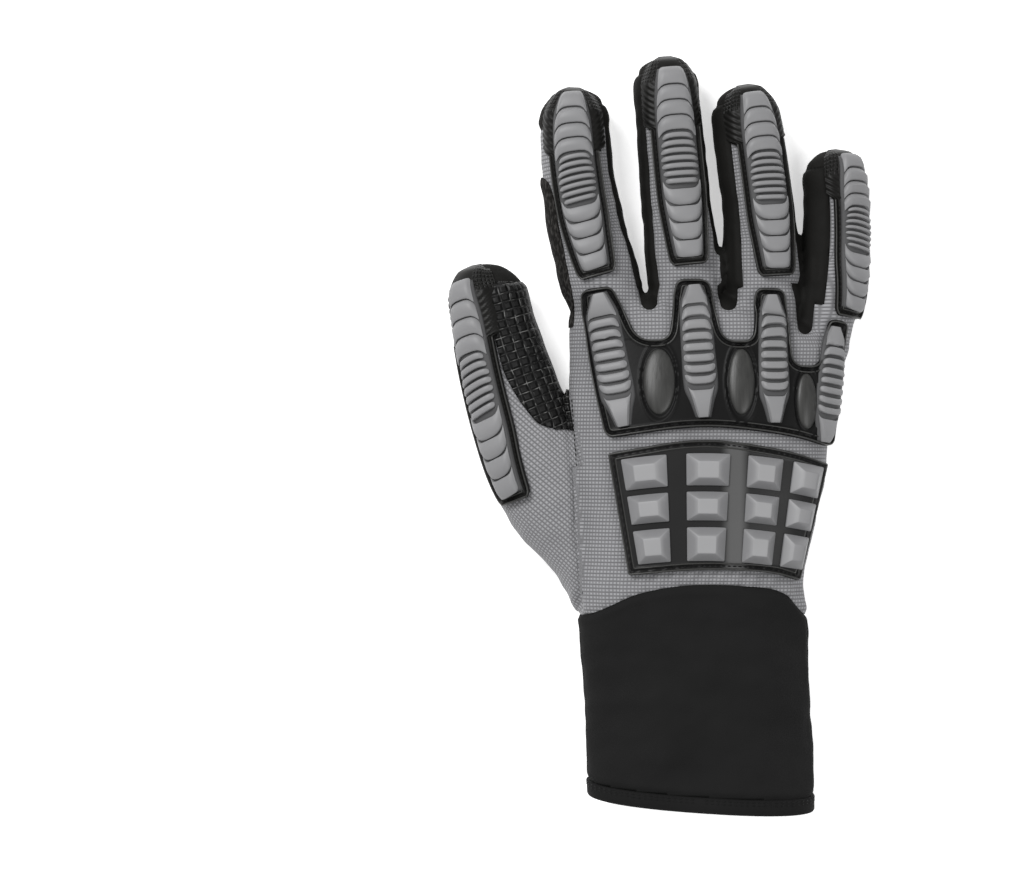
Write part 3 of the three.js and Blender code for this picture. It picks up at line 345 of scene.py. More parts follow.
def ramp(tree, value, low, high, **settings):
    """Nought where the value is at its low end, and one at its high end."""
    inputs = {"Value": value, "From Min": low, "From Max": high}
    return node(tree, "ShaderNodeMapRange", inputs, **settings).outputs["Result"]


def axes_of(tree, vector):
    return node(tree, "ShaderNodeSeparateXYZ", {"Vector": vector}).outputs


def noise(tree, vector, scale, detail):
    return node(tree, "ShaderNodeTexNoise", {"Vector": vector, "Scale": scale, "Detail": detail}).outputs


def new_group(name, inputs, outputs):
    tree = bpy.data.node_groups.new(name, "ShaderNodeTree")
    for label, kind, value in inputs:
        socket = tree.interface.new_socket(label, in_out="INPUT", socket_type="NodeSocket" + kind)
        if value is not None:
            socket.default_value = value
    for label, kind in outputs:
        tree.interface.new_socket(label, in_out="OUTPUT", socket_type="NodeSocket" + kind)
    return tree, tree.nodes.new("NodeGroupInput").outputs, tree.nodes.new("NodeGroupOutput").inputs


def use(tree, group, inputs):
    made = tree.nodes.new("ShaderNodeGroup")
    made.node_tree = group
    for key, value in inputs.items():
        wire(tree, made.inputs[key], value)
    return made.outputs


# %% Shared effects
grain, given, out = new_group("moulded grain", [("Vector", "Vector", None), ("Scale", "Float", 900.0)],
                              [("Height", "Float"), ("Patches", "Float")])
wire(grain, out["Height"], noise(grain, given["Vector"], given["Scale"], 3.0)["Fac"])
wire(grain, out["Patches"], noise(grain, given["Vector"], 45.0, 4.0)["Fac"])

cells, given, out = new_group("square cells", [("Vector", "Vector", None), ("Pitch", "Float", 1.4),
                                               ("Width", "Float", 0.4), ("Upright", "Float", 1.0)],
                              [("Cell", "Float"), ("Line", "Float")])
spot = axes_of(cells, given["Vector"])
sunk = []
for axis in ("X", "Y"):
    part = calc(cells, "FRACT", calc(cells, "DIVIDE", spot[axis], given["Pitch"]))
    side = calc(cells, "ABSOLUTE", calc(cells, "SUBTRACT", part, 0.5))
    sunk.append(ramp(cells, side, given["Width"], 0.5, interpolation_type="SMOOTHSTEP"))
line = calc(cells, "MAXIMUM", calc(cells, "MULTIPLY", sunk[0], given["Upright"]), sunk[1])
wire(cells, out["Cell"], calc(cells, "SUBTRACT", 1.0, line))
wire(cells, out["Line"], line)
print("groups", [group.name for group in bpy.data.node_groups])


# %% Material helpers
def new_material(name, roughness, specular=0.5, sheen=0.0):
    made = bpy.data.materials.new(name)
    made.use_nodes = True
    tree = made.node_tree
    shader = tree.nodes["Principled BSDF"]
    shader.inputs["Roughness"].default_value = roughness
    shader.inputs["Specular IOR Level"].default_value = specular
    shader.inputs["Sheen Weight"].default_value = sheen
    return made, tree, shader.inputs


def place_on(tree, map_name=None):
    if map_name:
        return node(tree, "ShaderNodeUVMap", {}, uv_map=map_name).outputs["UV"]
    return tree.nodes.new("ShaderNodeTexCoord").outputs["Object"]


def mapped(tree, vector, **inputs):
    """A vector that is turned or stretched."""
    return node(tree, "ShaderNodeMapping", {"Vector": vector, **inputs}).outputs["Vector"]


def rgba(tree, share, dark, light):
    """A colour between two, each of them plain or made by nodes."""
    mixer = tree.nodes.new("ShaderNodeMix")
    mixer.data_type = "RGBA"
    wire(tree, mixer.inputs["Factor"], share)
    wire(tree, mixer.inputs[6], dark if isinstance(dark, bpy.types.NodeSocket) else (*dark, 1))
    wire(tree, mixer.inputs[7], light if isinstance(light, bpy.types.NodeSocket) else (*light, 1))
    return mixer.outputs[2]


def bump(tree, shader, height, strength, distance):
    made = node(tree, "ShaderNodeBump", {"Height": height, "Strength": strength, "Distance": distance})
    wire(tree, shader["Normal"], made.outputs["Normal"])


print("grain has", len(grain.nodes), "nodes, cells have", len(cells.nodes))


# %% Finishes of moulded and printed pieces
def moulded(name, dark, light, roughness, scale=900.0, strength=0.15, specular=0.5, sides=None):
    """A rubber or leather: one colour with broad patches and a fine grain. Its sloping sides may take a darker colour,
    a painted shade where they turn away from the light.
    """
    made, tree, shader = new_material(name, roughness, specular)
    effect = use(tree, grain, {"Vector": place_on(tree), "Scale": scale})
    colour = rgba(tree, effect["Patches"], dark, light)
    # painted shade: faces that lean away from straight up take the darker side colour
    if sides:
        turned = tree.nodes.new("ShaderNodeTexCoord").outputs["Normal"]
        colour = rgba(tree, ramp(tree, axes_of(tree, turned)["Z"], 0.8, 0.96), sides, colour)
    wire(tree, shader["Base Color"], colour)
    bump(tree, shader, effect["Height"], strength, 0.0003)
    return made


def streaked(name, dark, light, roughness):
    """Rubber brushed lengthwise, with fine streaks along the hand."""
    made, tree, shader = new_material(name, roughness, 0.35)
    spot = mapped(tree, place_on(tree), Scale=(1.0, 0.06, 1.0))
    effect = use(tree, grain, {"Vector": spot, "Scale": 900.0})
    wire(tree, shader["Base Color"], rgba(tree, effect["Height"], dark, light))
    bump(tree, shader, effect["Height"], 0.25, 0.0003)
    return made


def cap_rubber(name, dark, light, roughness):
    """Pad rubber with rows of small dots moulded in beside the strip near the tip. On its map, x is the distance
    from the strip and y the distance from the tip."""
    made, tree, shader = new_material(name, roughness, 0.14)
    effect = use(tree, grain, {"Vector": place_on(tree), "Scale": 700.0})
    wire(tree, shader["Base Color"], rgba(tree, effect["Patches"], dark, light))
    spot = place_on(tree, "cloth")
    dots = use(tree, cells, {"Vector": spot, "Pitch": 1.35, "Width": 0.12})
    axes = axes_of(tree, spot)
    mask = calc(tree, "MULTIPLY", ramp(tree, axes["X"], 0.3, 0.7), ramp(tree, axes["Y"], 11.0, 9.0))
    bump(tree, shader, calc(tree, "MULTIPLY", dots["Cell"], mask), 0.8, 0.0005)
    return made


def printed(name, dark, light, silver):
    """Glossy film with a silver band along its edge. On its map, x is the distance from the edge."""
    made, tree, shader = new_material(name, 0.15, 0.4)
    effect = use(tree, grain, {"Vector": place_on(tree), "Scale": 300.0})
    inner = ramp(tree, axes_of(tree, place_on(tree, "cloth"))["X"], 1.9, 2.05)
    wire(tree, shader["Base Color"], rgba(tree, inner, silver, rgba(tree, effect["Patches"], dark, light)))
    bump(tree, shader, effect["Height"], 0.05, 0.0003)
    return made


def sheen_banded(name, dark, light, sheen_colour, middle):
    """Pad rubber with a paler band along the middle of the hand, a painted sheen. The band's place across the hand is
    given in metres.
    """
    made, tree, shader = new_material(name, 0.4, 0.2)
    effect = use(tree, grain, {"Vector": place_on(tree), "Scale": 700.0})
    away = calc(tree, "ABSOLUTE", calc(tree, "SUBTRACT", axes_of(tree, place_on(tree))["X"], middle))
    # painted sheen: the colour turns to the pale band colour near the middle
    share = ramp(tree, away, 0.006, 0.0015, interpolation_type="SMOOTHSTEP")
    wire(tree, shader["Base Color"], rgba(tree, share, rgba(tree, effect["Patches"], dark, light), sheen_colour))
    bump(tree, shader, effect["Height"], 0.08, 0.0003)
    return made


# %% Finishes of cloth
def knit(name, line, loop, turn=0.0):
    """Rows of small loops between sunk lines, on the piece's own map in millimetres. The rows show most."""
    made, tree, shader = new_material(name, 0.9, 0.2, 0.1)
    spot = mapped(tree, place_on(tree, "cloth"), Rotation=(0, 0, turn))
    pattern = use(tree, cells, {"Vector": spot, "Pitch": 1.42, "Width": 0.08, "Upright": 0.8})
    effect = use(tree, grain, {"Vector": place_on(tree), "Scale": 1500.0})
    share = calc(tree, "MULTIPLY", pattern["Cell"], calc(tree, "ADD", 0.55, effect["Patches"]))
    wire(tree, shader["Base Color"], rgba(tree, share, line, loop))
    bump(tree, shader, calc(tree, "ADD", pattern["Cell"], calc(tree, "MULTIPLY", effect["Height"], 0.35)), 0.5, 0.0004)
    return made


def grip(name, pitch, turn, dark, thread):
    """Black cushions in a grid of sunk threads, which are pale in some places and dark in others."""
    made, tree, shader = new_material(name, 0.45, 0.22)
    spot = mapped(tree, place_on(tree, "cloth"), Rotation=(0, 0, turn))
    bent = noise(tree, spot, 0.16, 1.0)["Color"]
    moved = node(tree, "ShaderNodeVectorMath", {0: spot, 1: bent}, operation="ADD").outputs[0]
    soft = use(tree, cells, {"Vector": moved, "Pitch": pitch, "Width": 0.2})
    thin = use(tree, cells, {"Vector": moved, "Pitch": pitch, "Width": 0.44})
    bright = ramp(tree, noise(tree, spot, 0.35, 2.0)["Fac"], 0.49, 0.66)
    share = calc(tree, "MULTIPLY", thin["Line"], bright)
    wire(tree, shader["Base Color"], rgba(tree, share, dark, thread))
    bump(tree, shader, soft["Cell"], 0.9, 0.0009)
    return made


def heathered(name, dark, light):
    """Brushed cloth flecked with short pale fibres."""
    made, tree, shader = new_material(name, 0.95, 0.1)
    spot = mapped(tree, place_on(tree), Scale=(1.0, 0.35, 1.0))
    effect = use(tree, grain, {"Vector": spot, "Scale": 1300.0})
    wire(tree, shader["Base Color"], rgba(tree, ramp(tree, effect["Height"], 0.45, 0.7), dark, light))
    bump(tree, shader, effect["Height"], 0.5, 0.0004)
    return made


# %% Table of finishes
materials = {
    "grey_knit": knit("grey knit", (0.115, 0.115, 0.119), (0.295, 0.295, 0.307)),
    "thumb_knit": knit("thumb knit", (0.12, 0.12, 0.124), (0.31, 0.31, 0.322), math.radians(63)),
    "leather": moulded("black leather", (0.004, 0.004, 0.0036), (0.009, 0.0086, 0.0078), 0.7, 1400.0, 0.35, 0.1),
    "palm_leather": moulded("palm leather", (0.006, 0.006, 0.0056), (0.0125, 0.012, 0.011), 0.8, 1400.0, 0.35, 0.1),
    "neoprene": moulded("neoprene", (0.007, 0.007, 0.007), (0.0125, 0.0125, 0.0125), 0.9, 2200.0, 0.4, 0.12),
    "hem": moulded("hem binding", (0.006, 0.006, 0.006), (0.011, 0.011, 0.011), 0.85, 2600.0, 0.5, 0.12),
    "grid_cloth": grip("grip cloth", 3.3, math.radians(-3), (0.006, 0.006, 0.006), (0.2, 0.2, 0.195)),
    "tab_cloth": grip("tab cloth", 3.3, 0.0, (0.006, 0.006, 0.006), (0.2, 0.2, 0.195)),
    "suede": heathered("suede", (0.008, 0.0075, 0.007), (0.045, 0.043, 0.041)),
    "black_rubber": moulded("black rubber", (0.004, 0.004, 0.004), (0.008, 0.008, 0.008), 0.42, 700.0, 0.08, 0.1),
    "cap_rubber": cap_rubber("cap rubber", (0.004, 0.004, 0.0037), (0.009, 0.0087, 0.008), 0.42),
    # a pale band along the middle of the hand pad is a painted sheen of the light on its curve
    "pad_rubber": sheen_banded("hand pad rubber", (0.008, 0.008, 0.008), (0.015, 0.015, 0.015), (0.08, 0.08, 0.08), 0.0125),
    "oval_rubber": streaked("oval rubber", (0.015, 0.015, 0.0145), (0.045, 0.045, 0.043), 0.4),
    # paler than the black rubber: a painted highlight along each lip of the pads
    "lip_rubber": moulded("lip rubber", (0.022, 0.022, 0.021), (0.036, 0.036, 0.034), 0.35, 700.0, 0.05, 0.4),
    "grey_rubber": moulded("grey rubber", (0.175, 0.175, 0.179), (0.222, 0.222, 0.227), 0.5, 800.0, 0.08, 0.35),
    # the blocks' sloping sides get a darker colour, a painted shade
    "block_rubber": moulded("block rubber", (0.24, 0.24, 0.244), (0.285, 0.285, 0.291), 0.5, 800.0, 0.08, 0.35,
                            sides=(0.185, 0.185, 0.19)),
    # darker grey for the beds under the blocks: painted shade in the grooves
    "groove_shade_rubber": moulded("groove shade rubber", (0.05, 0.05, 0.051), (0.075, 0.075, 0.077), 0.6, 800.0, 0.08, 0.25),
    "gloss": printed("gloss patch", (0.003, 0.0033, 0.0034), (0.005, 0.0054, 0.0055), (0.55, 0.555, 0.575)),
    "black_thread": moulded("black thread", (0.003, 0.003, 0.003), (0.007, 0.007, 0.007), 0.6, 3000.0, 0.3, 0.15),
    "pale_thread": moulded("pale thread", (0.3, 0.3, 0.29), (0.5, 0.5, 0.48), 0.7, 3000.0, 0.3),
}
print(len(materials), "materials")


# %% Mesh helpers
def clear():
    """Deselects everything, so that an operator only reaches the piece at hand."""
    if bpy.context.object and bpy.context.object.mode != "OBJECT":
        bpy.ops.object.mode_set(mode="OBJECT")
    bpy.ops.object.select_all(action="DESELECT")


def pick(piece):
    """Makes one piece the selected and active one."""
    clear()
    piece.select_set(True)
    bpy.context.view_layer.objects.active = piece


def mesh_piece(name, points, faces, uv=None):
    """An object from points in millimetres."""
    mesh = bpy.data.meshes.new(name)
    mesh.from_pydata((np.asarray(points) * MM).tolist(), [], [tuple(face) for face in np.asarray(faces).tolist()]
                     if isinstance(faces, np.ndarray) else faces)
    mesh.update()
    made = bpy.data.objects.new(name, mesh)
    bpy.context.scene.collection.objects.link(made)
    if uv is not None:
        map_piece(made, uv)
    return made


def map_piece(piece, uv):
    """Gives a piece a map in millimetres, one pair for each point."""
    while piece.data.uv_layers:
        piece.data.uv_layers.remove(piece.data.uv_layers[0])
    corners = np.zeros(len(piece.data.loops), int)
    piece.data.loops.foreach_get("vertex_index", corners)
    layer = piece.data.uv_layers.new(name="cloth")
    layer.data.foreach_set("uv", np.asarray(uv, np.float32)[corners].ravel())


def points_of(piece):
    co = np.zeros(len(piece.data.vertices) * 3)
    piece.data.vertices.foreach_get("co", co)
    return co.reshape(-1, 3)


def move_points(piece, points):
    """Puts a piece's points at new places in millimetres."""
    piece.data.vertices.foreach_set("co", (np.asarray(points) * MM).astype(np.float32).ravel())
    piece.data.update()


def take_apart(piece):
    """A piece's points in its own units and its faces. The piece is removed."""
    points, faces = points_of(piece), [tuple(polygon.vertices) for polygon in piece.data.polygons]
    bpy.data.objects.remove(piece)
    return points, faces


def halved(faces):
    """Two triangles for each face with four corners."""
    quads = np.array(faces)
    return np.concatenate([quads[:, [0, 1, 2]], quads[:, [0, 2, 3]]])


def cut_across(places, normal):
    """Cuts the whole piece that is being edited at some places along one axis."""
    for place in places:
        bpy.ops.mesh.select_all(action="SELECT")
        bpy.ops.mesh.bisect(plane_co=[place * part for part in normal], plane_no=normal)


def apply(piece, kind, **settings):
    pick(piece)
    modifier = piece.modifiers.new(kind.lower(), kind)
    for key, value in settings.items():
        setattr(modifier, key, value)
    bpy.ops.object.modifier_apply(modifier=modifier.name)


# %% Finishing a piece
def face_out(piece):
    pick(piece)
    bpy.ops.object.mode_set(mode="EDIT")
    bpy.ops.mesh.select_all(action="SELECT")
    bpy.ops.mesh.normals_make_consistent(inside=False)
    bpy.ops.object.mode_set(mode="OBJECT")


def finish_piece(piece, material, slot, *stands_for, sharp=None):
    """Gives a piece its finish and its body, and hides the solids that it stands for."""
    piece.data.materials.clear()
    piece.data.materials.append(materials[material])
    piece.data.polygons.foreach_set("use_smooth", np.ones(len(piece.data.polygons), bool))
    if sharp:
        pick(piece)
        bpy.ops.object.shade_smooth_by_angle(angle=math.radians(sharp))
    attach(piece, "root")
    if stands_for:
        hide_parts(*stands_for)
    print(piece.name, len(piece.data.polygons), "faces")
    return piece


# %% [markdown]
# ## The soft shell
# A sewn glove is one closed skin that is cut along its seams. So the skin is made first: hand, cuff and five
# digits are lofted as closed tubes, joined, remeshed into one surface and smoothed, which rounds the webs as
# stretched cloth does. The panels are then cut from it. Each panel's edge is exact, because triangles are split
# where the seam crosses them.


# %% Skin
def tube(rings):
    """Closed faces through rings of points, with a flat face at each end."""
    count, sides = len(rings), len(rings[0])
    faces = []
    for i in range(count - 1):
        for j in range(sides):
            k = (j + 1) % sides
            faces.append((i * sides + j, i * sides + k, (i + 1) * sides + k, (i + 1) * sides + j))
    faces.append(tuple(range(sides))[::-1])
    faces.append(tuple((count - 1) * sides + j for j in range(sides)))
    return np.concatenate(rings), faces


turns = np.linspace(0, 2 * math.pi, 97)[:-1]
stations = np.concatenate([np.linspace(MOUTH_Y - 9, WEB_Y - WEB_ROUND, 90),
                           WEB_Y - WEB_ROUND + WEB_ROUND * np.sin(np.linspace(0, 1.52, 14)[1:])])
parts = [mesh_piece("hand tube", *tube([body_point(y, turns) for y in stations]))]
for name, digit in digits.items():
    dome = digit.tip_radius * (1 - np.cos(np.linspace(0.09, math.pi / 2, 12)))
    rest = np.linspace(digit.tip_radius, digit.length, 70)[1:]
    rings = [digit.surface(from_tip, turns[::2]) for from_tip in np.concatenate([dome, rest])]
    parts.append(mesh_piece(name + " tube", *tube(rings)))
# the middle and ring fingers touch above their web: x, y, z and half sizes of the spot where they join
MEETING = (8.2, 66, 11.5, 2.4, 9, 6)
rings = [np.stack([MEETING[0] + MEETING[3] * math.sin(t) * np.cos(turns[::4]),
                   np.full(24, MEETING[1] - MEETING[4] * math.cos(t)),
                   MEETING[2] + MEETING[5] * math.sin(t) * np.sin(turns[::4])], 1)
         for t in np.linspace(0.3, math.pi - 0.3, 11)]
parts.append(mesh_piece("meeting", *tube(rings)))
for part in parts:
    face_out(part)
clear()
for part in parts:
    part.select_set(True)
bpy.context.view_layer.objects.active = parts[0]
bpy.ops.object.join()
skin = bpy.context.object
skin.data.remesh_voxel_size = 1.15 * MM
bpy.ops.object.voxel_remesh()
apply(skin, "SMOOTH", factor=0.5, iterations=6)
skin_points, skin_faces = take_apart(skin)
skin_points, skin_faces = skin_points / MM, halved(skin_faces)
print("skin", skin_points.shape, skin_faces.shape, skin_points.min(0), skin_points.max(0))


# %% Where each point of the skin lies
def point_normals(points, faces):
    a, b, c = points[faces[:, 0]], points[faces[:, 1]], points[faces[:, 2]]
    face_normals = np.cross(b - a, c - a)
    normals = np.zeros_like(points)
    for k in range(3):
        np.add.at(normals, faces[:, k], face_normals)
    return normals / np.maximum(np.linalg.norm(normals, axis=1, keepdims=True), 1e-12)


# %% Digits near each point
x, y, z = skin_points.T
places = {name: digit.find(skin_points) for name, digit in digits.items()}
print({name: int((place[:, 2] < 1.1).sum()) for name, place in places.items()})


def strip(name, low, high, start, end, proud=1.5):
    """How far inside a strip of a digit a point lies: between two angles and two distances from the tip."""
    from_tip, angle, share = places[name].T
    radius = digits[name].radius(np.clip(from_tip, 0, digits[name].length))
    return np.minimum.reduce([(angle - low) * radius, (high - angle) * radius, from_tip - start, end - from_tip,
                              proud - (share - 1) * radius])


# %% Fields that tell one panel from another
def thumb_seam_x(y):
    return np.interp(y, *(np.array(THUMB_SEAM[::-1])[:, ::-1] * [HAND_LENGTH, HAND_WIDTH]).T)


arch_keys = np.array(WRIST_ARCH) * [HAND_WIDTH, HAND_LENGTH]
wrist_y = read(arch_keys, x, 1)
cuff_field = np.maximum(np.minimum(wrist_y - y, z - SIDE_SEAM), np.minimum(PALM_SEAM_Y - y, SIDE_SEAM - z))
station = y - mouth_shift(x, z, np.full_like(y, MOUTH_Y))
mouth_field = station - (MOUTH_Y + 0.5)

PALM_ANGLE = math.radians(106)
FOURCHETTE_REACH = {"index": 0.72, "middle": 0.75, "ring": 0.75, "little": 0.8}
# the foot of each black web as it shows on the back: x, y, half width in millimetres
WEB_FEET = [(-19.6, 50.2, 3.1), (11, 50.2, 3.2), (40.6, 41, 2.7)]
back_field = np.minimum(z - SIDE_SEAM, WEB_Y + 2 - y)
for finger in fingers:
    back_field = np.maximum(back_field, strip(finger.name, finger.left, finger.right, 16, 0.9 * finger.length))
fourchette_fields = []
for left, right, (foot_x, foot_y, half) in zip(fingers, fingers[1:], WEB_FEET):
    a, b = left.at(0.22)[0], right.at(0.22)[0]
    tongue = half + 0.006 * np.maximum(y - foot_y, 0) ** 2 - np.hypot(x - foot_x, np.minimum(y - foot_y - half, 0))
    tongue = np.minimum(tongue, WEB_Y + 4 - y)
    web = np.minimum.reduce([x - a, b - x, y - foot_y + 1, foot_y + 34 - y, z - SIDE_SEAM,
                             np.maximum(tongue, -back_field)])
    near = strip(left.name, left.right, PALM_ANGLE, 6, FOURCHETTE_REACH[left.name] * left.length)
    far = strip(right.name, -PALM_ANGLE, right.left, 6, FOURCHETTE_REACH[right.name] * right.length)
    fourchette_fields.append(np.maximum.reduce([web, near, far]))
side_field = np.maximum.reduce(fourchette_fields)

thumb_strip = strip("thumb", thumb.left, thumb.right, 15, 0.62 * thumb.length)
thumb_side = np.minimum.reduce([thumb_seam_x(y) - x, z - SIDE_SEAM, THUMB_SEAM[0][1] * HAND_LENGTH - y])
thumb_field = np.maximum(thumb_strip, thumb_side)

fields = {"cuff": cuff_field}
for i, field in enumerate(fourchette_fields):
    fields[i] = np.minimum(field, -cuff_field)
fields["thumb"] = np.minimum.reduce([thumb_field, -cuff_field, -side_field])
fields["back"] = np.minimum.reduce([back_field, -cuff_field, -side_field, -thumb_field])
fields["palm"] = np.minimum.reduce([-back_field, -cuff_field, -side_field, -thumb_field])
print({name: int((field > 0).sum()) for name, field in fields.items()})

# %% [markdown]
# ## Softness
# Cloth is never as smooth as a tube. Broad low swells show that it is filled with air and nothing else, the cloth
# draws up into small puckers along the wrist seam, and every seam sinks between two soft rolls.


# %% Swells and puckers
def swell(points, pitch, seed):
    """A soft even unevenness from a few waves that cross."""
    total = np.zeros(len(points))
    for k in range(6):
        way = np.array([math.cos(2.4 * k + seed), math.sin(2.4 * k + seed), 0.6 * math.sin(1.7 * k + seed)])
        total += np.sin(points @ way * (2 * math.pi / pitch) * (1 + 0.17 * k) + 1.3 * k * seed)
    return total / 3


skin_normals = point_normals(skin_points, skin_faces)
off_table = smooth(0, 8, z - HAND_FLOOR)
lift = (0.3 * swell(skin_points, 31, 1.0) + 0.14 * swell(skin_points, 13, 2.0)) * off_table
pucker = hump(y, wrist_y + 4, 4.5) * np.sin(x * 2 * math.pi / 6.3 + np.sin(x / 9)) * smooth(SIDE_SEAM, SIDE_SEAM + 6, z)
lift += 0.45 * pucker * (cuff_field < 0)
on_cuff = smooth(0, 8, cuff_field) * off_table * smooth(MOUTH_Y + 5, MOUTH_Y + 18, y)
folds = swell(skin_points * [1, 0.55, 1], 34, 3.0) + 0.7 * swell(skin_points * [0.4, 1.3, 1], 26, 5.0)
lift += 0.5 * folds * on_cuff * smooth(0.1, 0.6, skin_normals[:, 2])
print("lift of the skin", lift.min().round(2), "to", lift.max().round(2))

# %% The cloth map
# round the hand, the map counts the length of the section from its top
MAP_ROWS = np.linspace(MOUTH_Y, WEB_Y - WEB_ROUND, 40)
map_angles = np.linspace(-math.pi, math.pi, 181)
sections = np.stack([body_point(row, map_angles) for row in MAP_ROWS])
arcs = np.cumsum(np.linalg.norm(np.diff(sections, axis=1, prepend=sections[:, :1]), axis=2), axis=1)
arcs -= arcs[:, 90:91]
station_y = np.clip(y - web_shift(x, y), MAP_ROWS[0], MAP_ROWS[-1])
centre_x, half_x, middle_z, rise_z, fall_z = body_section(station_y)
across = np.clip(np.abs(x - centre_x) / half_x, 0, 1.2)
up = (z - middle_z) / np.where(z > middle_z, rise_z, fall_z)
power = np.where(up > 0, 2.3 / 2, 3.4 / 2)
turned = np.arctan2(across**power, np.sign(up) * np.clip(np.abs(up), 0, 1.2) ** power)
flat_turn = np.arcsin(np.clip(across, 0, 1) ** (2.3 / 2))
turned = np.where(up > 0, mix(flat_turn, turned, smooth(0.6, 0.85, across)), turned) * np.sign(x - centre_x)
rows_at = np.interp(station_y, MAP_ROWS, np.arange(len(MAP_ROWS)))
turns_at = (turned + math.pi) / (2 * math.pi) * 180
i = np.clip(rows_at.astype(int), 0, len(MAP_ROWS) - 2)
j = np.clip(turns_at.astype(int), 0, 179)
arc = mix(mix(arcs[i, j], arcs[i, j + 1], turns_at - j), mix(arcs[i + 1, j], arcs[i + 1, j + 1], turns_at - j),
          rows_at - i)
cloth_map = np.stack([arc, y], 1)
for finger in fingers:
    from_tip, angle, share = places[finger.name].T
    radius = finger.radius(np.clip(from_tip, 0, finger.length))
    weight = smooth(0.62 * finger.length, 0.5 * finger.length, from_tip) * (share < 1.3)
    root = finger.at(0.3)
    near = np.argmin(np.hypot(x - root[0], y - root[1]) + 50 * (z < SIDE_SEAM))
    around = np.stack([arc[near] + angle * radius, root[1] + 0.7 * finger.length - from_tip], 1)
    cloth_map = mix(cloth_map, around, weight[:, None])
from_tip, angle, share = places["thumb"].T
radius = thumb.radius(np.clip(from_tip, 0, thumb.length)) * np.clip(share, 0.8, 3)
thumb_map = np.stack([angle * radius, -from_tip], 1)
on_thumb = (thumb_field > -1) | ((share < 1.3) & (from_tip < 0.62 * thumb.length))
cloth_map = np.where(on_thumb[:, None], thumb_map, cloth_map)
skin_data = np.concatenate([skin_points, skin_normals, lift[:, None], cloth_map], 1)
print("skin with its map", skin_data.shape)


# %% Cutting a panel from the skin
def clip(data, faces, field):
    """Keeps what lies where the field is above nought, and splits the triangles that its edge crosses."""
    inside = field > 0
    count = inside[faces].sum(1)
    cut = faces[(count == 1) | (count == 2)]
    edges = np.sort(np.concatenate([cut[:, [0, 1]], cut[:, [1, 2]], cut[:, [2, 0]]]), axis=1)
    edges = np.unique(edges[inside[edges[:, 0]] != inside[edges[:, 1]]], axis=0)
    keys = edges[:, 0] * len(field) + edges[:, 1]
    share = np.clip(field[edges[:, 0]] / (field[edges[:, 0]] - field[edges[:, 1]]), 0.03, 0.97)[:, None]
    data = np.concatenate([data, mix(data[edges[:, 0]], data[edges[:, 1]], share)])
    values = np.concatenate([field, np.zeros(len(edges))])

    def crossing(a, b):
        return len(field) + np.searchsorted(keys, np.minimum(a, b) * len(field) + np.maximum(a, b))

    kept = [faces[count == 3]]
    for want, odd in ((1, True), (2, False)):
        some = faces[count == want]
        turn = (inside[some] == odd).argmax(1)
        o, a, b = [some[np.arange(len(some)), (turn + k) % 3] for k in range(3)]
        if want == 1:
            kept.append(np.stack([o, crossing(o, a), crossing(o, b)], 1))
        else:
            kept.append(np.stack([crossing(o, a), a, b], 1))
            kept.append(np.stack([crossing(o, a), b, crossing(o, b)], 1))
    faces = np.concatenate(kept)
    used, faces = np.unique(faces, return_inverse=True)
    return data[used], faces.reshape(-1, 3), values[used]


def largest(data, faces, values):
    """Leaves out the crumbs beside a panel."""
    group = np.arange(len(data))
    while True:
        low = group[faces].min(1)
        after = group.copy()
        for k in range(3):
            np.minimum.at(after, faces[:, k], low)
        after = after[after]
        if (after == group).all():
            break
        group = after
    most = np.bincount(group[faces[:, 0]]).argmax()
    faces = faces[group[faces[:, 0]] == most]
    used, faces = np.unique(faces, return_inverse=True)
    return data[used], faces.reshape(-1, 3), values[used]


def panel(name, field, wall, seam=0.55, raise_by=0.0):
    """Cuts a panel, sinks its seams and gives it its wall."""
    data, faces, depth = largest(*clip(skin_data, skin_faces, field))
    height = data[:, 6] - seam * hump(depth, 0, 1.0) + 0.5 * seam * hump(depth, 2.6, 1.5) + raise_by
    points = data[:, :3] + data[:, 3:6] * height[:, None]
    points[:, 2] = np.maximum(points[:, 2], HAND_FLOOR - 0.3)
    made = mesh_piece(name, points, faces, data[:, 7:9])
    apply(made, "SOLIDIFY", thickness=wall * MM, offset=-1)
    return made


# %% Panels
finish_piece(panel("back_cloth", fields["back"], FABRIC_WALL), "grey_knit", "grey_knit", "back_panel")
finish_piece(panel("thumb_cloth", fields["thumb"], FABRIC_WALL), "thumb_knit", "grey_knit", "thumb_panel")
finish_piece(panel("palm_cloth", fields["palm"], FABRIC_WALL), "palm_leather", "black_leather", "palm_panel")
for i, name in enumerate(("index_middle", "middle_ring", "ring_little")):
    finish_piece(panel("side_strip_" + name, fields[i], FABRIC_WALL), "leather", "black_leather", "fourchette_" + name)

# %% [markdown]
# ## The cuff
# The cuff is foam-backed neoprene, thick and matte, in two panels that meet low on the thumb's side and high on
# the little finger's. A folded band closes the mouth, sewn down with two rows of thread.

# %% Cuff
side_line = mix(0.3, 0.62, np.clip((x + HAND_WIDTH) / (2 * HAND_WIDTH), 0, 1)) * PALM_THICKNESS
hem_field = mouth_field - HEM_HEIGHT + 0.3
top_cuff = np.minimum.reduce([cuff_field, z - side_line, hem_field])
low_cuff = np.minimum.reduce([cuff_field, side_line - z, hem_field])
cuff_top = finish_piece(panel("cuff_top", top_cuff, NEOPRENE_WALL, 0.8), "neoprene", "neoprene", "cuff_back")
cuff_under = finish_piece(panel("cuff_under", low_cuff, NEOPRENE_WALL, 0.8), "neoprene", "neoprene", "cuff_palm")

